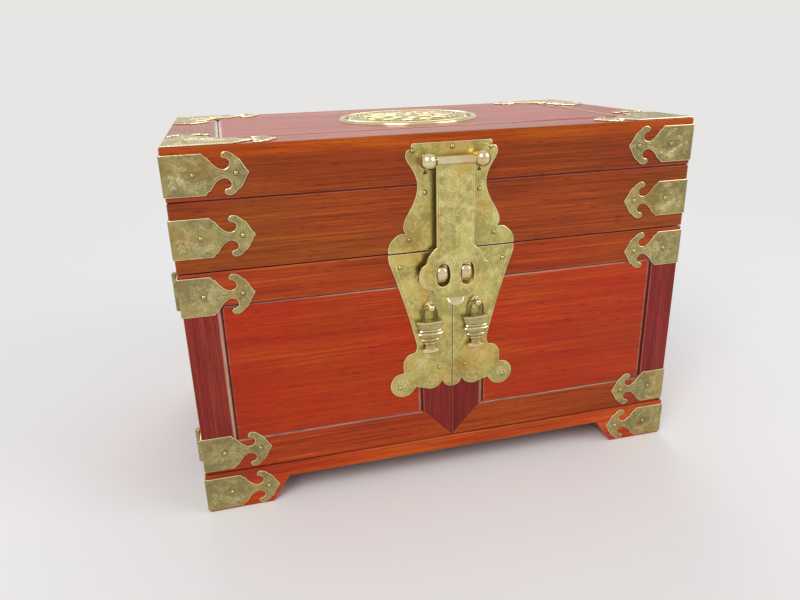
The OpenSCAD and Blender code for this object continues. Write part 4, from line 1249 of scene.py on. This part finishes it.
def make_hasp_rod():
    """The rod that the hasp hangs from, between two ball-headed posts."""
    rod = lathe([(0, -16.2), (1.5, -16.2), (1.5, 16.2), (0, 16.2)], 32, POLISHED)
    put(rod, at(0, FRONT_Y - ROD_OUT, ROD_Z) @ TO_RIGHT)
    finish_brass(rod, "hasp_rod_bar", "lid", "hasp_rod")
    posts = bmesh.new()
    for x in (-BALL_X, BALL_X):
        head = ball(BALL_R, 40, 24, POLISHED)
        stem = lathe([(0, 0), (3.6, 0), (3.6, 0.5), (2.9, 0.9), (2.4, 1.5), (2.4, 5.0), (0, 5.0)],
                     32, POLISHED)
        merge(posts, put(head, at(x, FRONT_Y - ROD_OUT + BALL_R - BALL_AHEAD, ROD_Z)),
              put(stem, at(x, FRONT_Y - SHEET, ROD_Z) @ TO_FRONT))
    finish_brass(posts, "hasp_ball_posts", "lid", "hasp_posts")


def rounded(value):
    """Pushes a sine outwards, which turns an ellipse into a rounded bar."""
    return math.copysign(abs(value) ** 0.75, value)


def make_staples():
    """A domed loop on each door that comes through the hasp's slot."""
    for side, sign in SIDES:
        bm = bmesh.new()
        ring = [bm.verts.new((3.5 * rounded(math.cos(math.tau * n / 32)) * MM, 0,
                              (4.6 + 2.0 * rounded(math.sin(math.tau * n / 32))) * MM))
                for n in range(32)]
        edges = [bm.edges.new(pair) for pair in zip(ring, ring[1:] + ring[:1])]
        bmesh.ops.spin(bm, geom=ring + edges, cent=(0, 0, 0), axis=(1, 0, 0),
                       angle=math.pi, steps=32)
        bmesh.ops.holes_fill(bm, edges=[e for e in bm.edges if e.is_boundary])
        bmesh.ops.recalc_face_normals(bm, faces=bm.faces)
        if sum(v.co.y for v in bm.verts) > 0:
            put(bm, MIRROR_Y)
        put(paint(bm, POLISHED), at(sign * SLOT_X, FRONT_Y, ROD_Z - SLOT_DOWN))
        finish_brass(bm, f"door_{side}_loop", f"door_{side}", f"door_{side}_staple")


PULL_X = 15.2
PULL_Z = SEAM_Z - 35
PULL_Y = FRONT_Y - SHEET - 2.6
BAIL_R = 4.1
WIRE_R = 0.7
VASE = [  # radius, height and half depth of the pull's cast body
    (0, 112.7, 0), (8.2, 112.6, 1.4), (8.9, 112.3, 2.0), (9.0, 111.8, 2.2), (8.8, 111.3, 2.0),
    (8.4, 110.9, 1.2), (8.2, 110.5, 1.0), (7.9, 109.0, 0.9), (7.1, 107.5, 0.9),
    (6.8, 107.0, 0.9), (7.2, 106.7, 1.6), (7.4, 106.2, 2.0), (7.2, 105.7, 1.6),
    (6.7, 105.4, 0.8), (7.3, 105.1, 1.0), (8.2, 104.7, 1.8), (8.5, 104.1, 2.2),
    (8.3, 103.5, 1.8), (7.1, 103.1, 0.9), (5.9, 101.5, 0.8), (5.7, 101.1, 0.8),
    (6.1, 100.8, 1.5), (6.3, 100.3, 1.8), (6.0, 99.8, 1.4), (4.9, 99.4, 0.8), (3.8, 98.6, 0.8),
    (4.1, 98.3, 1.3), (4.2, 97.8, 1.5), (4.0, 97.3, 1.2), (3.2, 97.0, 0.8), (3.0, 96.2, 0.8),
    (3.3, 95.9, 1.3), (3.4, 95.5, 1.4), (3.2, 95.1, 1.1), (3.4, 94.5, 1.0), (4.4, 94.0, 1.3),
    (5.4, 93.7, 1.9), (5.7, 93.2, 2.2), (5.7, 92.0, 2.2), (5.4, 91.5, 1.7), (0, 91.2, 0)]
RIDGES = (  # between which heights the vase gets polished brass: rubbed bright, and a painted highlight
    (110.9, 113), (105.6, 106.8), (103.3, 105.0), (99.7, 100.9), (97.2, 98.4),
    (95.0, 96.0), (91, 94.1))


def make_pulls():
    """Each pull: a cast vase on a wire bail that turns in a ball-headed post."""
    for side, sign in SIDES:
        vase = lathe([(radius, height) for radius, height, _ in VASE], 48, CAST)
        flatten = {round(height, 1): depth / radius for radius, height, depth in VASE if radius}
        for v in vase.verts:
            v.co.y *= flatten.get(round(v.co.z / MM, 1), 0.0)
        # The ridges get polished brass: rubbed bright, and a painted highlight
        for face in vase.faces:
            height = face.calc_center_median().z / MM
            if any(low < height < high for low, high in RIDGES):
                face.material_index = POLISHED
        put(vase, at(sign * PULL_X, PULL_Y, 0))
        leg = [(-BAIL_R, z) for z in (111.5, 114.0, PULL_Z - BAIL_R)]
        leg += [(-2.9, PULL_Z - BAIL_R + 2.9)]
        path = leg + [(0, PULL_Z)] + [(-x, z) for x, z in reversed(leg)]
        bail = bmesh.new()
        add_mesh(bail, curve_mesh("bail", [path], False, dimensions="3D",
                                  bevel_depth=WIRE_R * MM, bevel_resolution=3, resolution_u=6,
                                  use_fill_caps=True), WIRE)
        merge(vase, put(bail, at(sign * PULL_X, PULL_Y, 0) @ TO_FRONT))
        finish_brass(vase, f"drop_pull_{side}", f"pull_{side}", f"pull_{side}")
        post = lathe([(0, 0), (2.7, 0), (2.7, 0.35), (2.2, 0.6), (1.35, 0.8), (1.3, 3.0),
                      (1.6, 3.2), (2.2, 3.9), (2.45, 4.9), (2.2, 5.9), (1.6, 6.7), (0.8, 7.1),
                      (0, 7.2)], 28, POLISHED)
        put(post, at(sign * PULL_X, FRONT_Y - SHEET, PULL_Z) @ TO_FRONT)
        finish_brass(post, f"door_{side}_pull_post", f"door_{side}", f"door_{side}_pull_eye")


def on_front(x, z):
    """On the brass of the front, above or below the seam."""
    return at(x, FRONT_Y - SHEET, SEAM_Z + z) @ TO_FRONT


def make_nails():
    """The nail heads of the lid, the case and the doors."""
    lid = [spot for level in LID_STRAPS for spot in corner_nail_places(level, 0)]
    lid += [at(-HALF_W + TOP_INSET + x, FRONT_Y + TOP_INSET + y, TOP_Z + SHEET)
            for x, y in TOP_NAILS]
    front = [on_front(sign * x, z) for x, z in ((24, 59.6), (16.9, 35.2), (27, 7.8))
             for _, sign in SIDES]
    front += [on_front(0, 60.9)]
    finish_brass(merge(in_four_corners(nails(lid)), nails(front + back_nails["lid"])),
                 "lid_nail_heads", "lid", "lid_nails")
    case = in_four_corners(nails(corner_nail_places(FOOT_STRAP, PLINTH_LIP)))
    finish_brass(merge(case, nails(side_nails + back_nails["case"])), "case_nail_heads", "case",
                 "case_nails")
    for side, sign in SIDES:
        spots = [on_front(sign * (HALF_W - run), level - SEAM_Z)
                 for level in DOOR_STRAPS for run in (12.6, DOOR_STRAP_REACH - NAIL_TO_TIP)]
        spots += [on_front(sign * x, z) for x, z in ((32.8, -8.9), (8.5, -78.4), (34.9, -89.5))]
        finish_brass(nails(spots), f"door_{side}_nail_heads", f"door_{side}",
                     f"door_{side}_nails")


make_medallion()
make_hasp()
make_hasp_rod()
make_staples()
make_pulls()
make_nails()

# ---- Drawers, tray and linings ----

DRAWER = (143.0, 153.0, 38.25)  # width, depth, height
DRAWER_X = 76
DRAWER_FRONT_Y = FRONT_Y + 26.5
DRAWER_FRONT_T = 9
BAY_Z = (32.75, 76.5)
WALL = 5  # of a drawer's box
FLOOR = 3  # of a drawer's box and of the tray
CLEAR = 0.1  # between the linings and the wood
TRAY = (294.4, 153.9)
TRAY_CORNER = (-147.2, FRONT_Y + 24.3, 121.3)
TRAY_WALL = 4
COLUMNS = 3
ROWS = 2
RIM = 1.5  # from a drawer's lining up to the drawer's top
TRAY_LINING_TOP = 18.0  # above the tray's underside


def lining(name, body, low, high, thick=0.9):
    """A velvet lining that is open at the top, between two corners in millimetres."""
    bm = block([(a + b) / 2 for a, b in zip(low, high)], [b - a for a, b in zip(low, high)])
    top = [f for f in bm.faces if f.normal.z > 0.9]
    bmesh.ops.delete(bm, geom=top, context="FACES_ONLY")
    bmesh.ops.solidify(bm, geom=bm.faces[:], thickness=thick * MM)
    bmesh.ops.recalc_face_normals(bm, faces=bm.faces)
    soften(bm, 0.00035)
    finish_piece(paint(bm, 0), name, body, [velvet])


KNOB = [(0, 0), (5.0, 0), (5.0, 0.5), (4.6, 1.0), (2.4, 1.5), (1.9, 2.2), (1.9, 3.4),
        (2.6, 4.1), (3.9, 4.7), (4.3, 5.4), (4.2, 6.2), (3.5, 7.1), (2.2, 7.8), (0, 8.0)]
for side, sign in SIDES:
    for row, z in zip(("lower", "upper"), BAY_Z):
        body = f"drawer_{row}_{side}"
        middle = sign * DRAWER_X
        knob = put(lathe(KNOB, 32, POLISHED), at(middle, DRAWER_FRONT_Y, z + DRAWER[2] / 2)
                   @ TO_FRONT)
        finish_brass(knob, body + "_turned_knob", body, body + "_knob")
        half = DRAWER[0] / 2 - WALL - CLEAR
        lining(body + "_lining", body,
               (middle - half, DRAWER_FRONT_Y + DRAWER_FRONT_T + CLEAR, z + FLOOR + CLEAR),
               (middle + half, DRAWER_FRONT_Y + DRAWER[1] - WALL - CLEAR,
                z + DRAWER[2] - RIM))
cell_w = (TRAY[0] - (COLUMNS + 1) * TRAY_WALL) / COLUMNS
cell_d = (TRAY[1] - (ROWS + 1) * TRAY_WALL) / ROWS
for column in range(COLUMNS):
    for row in range(ROWS):
        x = TRAY_CORNER[0] + TRAY_WALL + column * (cell_w + TRAY_WALL)
        y = TRAY_CORNER[1] + TRAY_WALL + row * (cell_d + TRAY_WALL)
        z = TRAY_CORNER[2]
        lining(f"tray_lining_{column}_{row}", "tray",
               (x + CLEAR, y + CLEAR, z + FLOOR + CLEAR),
               (x + cell_w - CLEAR, y + cell_d - CLEAR, z + TRAY_LINING_TOP))


# ---- Camera, floor and light ----

BACKDROP = (0.80, 0.79, 0.78, 1)


def make_camera():
    """Looks down on the box's front from its left."""
    data = bpy.data.cameras.new("camera")
    data.lens = 30.03
    data.sensor_width = 36.0
    data.sensor_fit = "HORIZONTAL"
    camera = bpy.data.objects.new("camera", data)
    camera.location = (-0.12737, -0.46190, 0.26889)
    camera.rotation_euler = [math.radians(angle) for angle in (69.680, 1.523, -14.800)]
    scene.collection.objects.link(camera)
    scene.camera = camera


def seen_directly(tree):
    """1 for camera, glossy and transmission rays, and 0 for the rays that carry light."""
    path = tree.nodes.new("ShaderNodeLightPath")
    seen = calculate(tree, "MAXIMUM", path.outputs["Is Camera Ray"],
                     path.outputs["Is Glossy Ray"])
    return calculate(tree, "MAXIMUM", seen, path.outputs["Is Transmission Ray"])


def make_floor():
    """A wide disc of pale paper that fades into the backdrop far from the box."""
    bm = bmesh.new()
    bmesh.ops.create_circle(bm, cap_ends=True, segments=96, radius=9.0)
    mesh = bpy.data.meshes.new("floor")
    bm.to_mesh(mesh)
    bm.free()
    material, tree, shader = new_material("floor_paper", Roughness=0.85)
    place = object_place(tree)
    fleck = noise(tree, place, 500.0, detail=2.0)
    feed_all(tree, shader, Base_Color=mix_colors(tree, fleck, BACKDROP, (0.84, 0.83, 0.82, 1)))
    far = tree.nodes.new("ShaderNodeVectorMath")
    far.operation = "LENGTH"
    feed(tree, far.inputs[0], place)
    fade = calculate(tree, "MULTIPLY", spread(tree, far.outputs["Value"], 0.35, 1.6),
                     seen_directly(tree))
    glow = new_node(tree, "ShaderNodeEmission", Color=BACKDROP)
    blend = tree.nodes.new("ShaderNodeMixShader")
    for target, source in zip(blend.inputs, (fade, shader.outputs[0], glow.outputs[0])):
        feed(tree, target, source)
    feed_all(tree, tree.nodes["Material Output"], Surface=blend.outputs[0])
    mesh.materials.append(material)
    floor = bpy.data.objects.new("floor", mesh)
    scene.collection.objects.link(floor)


def make_world():
    world = bpy.data.worlds.new("studio")
    world.use_nodes = True
    tree = world.node_tree
    feed_all(tree, tree.nodes["Background"],
             Color=mix_colors(tree, seen_directly(tree), (0.55, 0.56, 0.58, 1), BACKDROP))
    scene.world = world


BOX_MIDDLE = Vector((0, 0, 0.1))


def softbox(name, place, size, power):
    """A rectangular lamp that shines on the middle of the box."""
    data = bpy.data.lights.new(name, "AREA")
    data.shape = "RECTANGLE"
    data.size, data.size_y = size
    data.energy = power
    lamp = bpy.data.objects.new(name, data)
    turn = (Vector(place) - BOX_MIDDLE).to_track_quat("Z", "Y").to_matrix().to_4x4()
    lamp.matrix_world = Matrix.Translation(place) @ turn
    scene.collection.objects.link(lamp)


make_camera()
make_floor()
make_world()
softbox("key", (-1.1, -1.5, 1.7), (1.2, 1.2), 26)
softbox("fill", (1.5, -1.0, 1.1), (1.2, 1.0), 9)
softbox("back", (0.3, 1.8, 1.6), (1.6, 0.8), 12)
scene.view_settings.view_transform = "Standard"
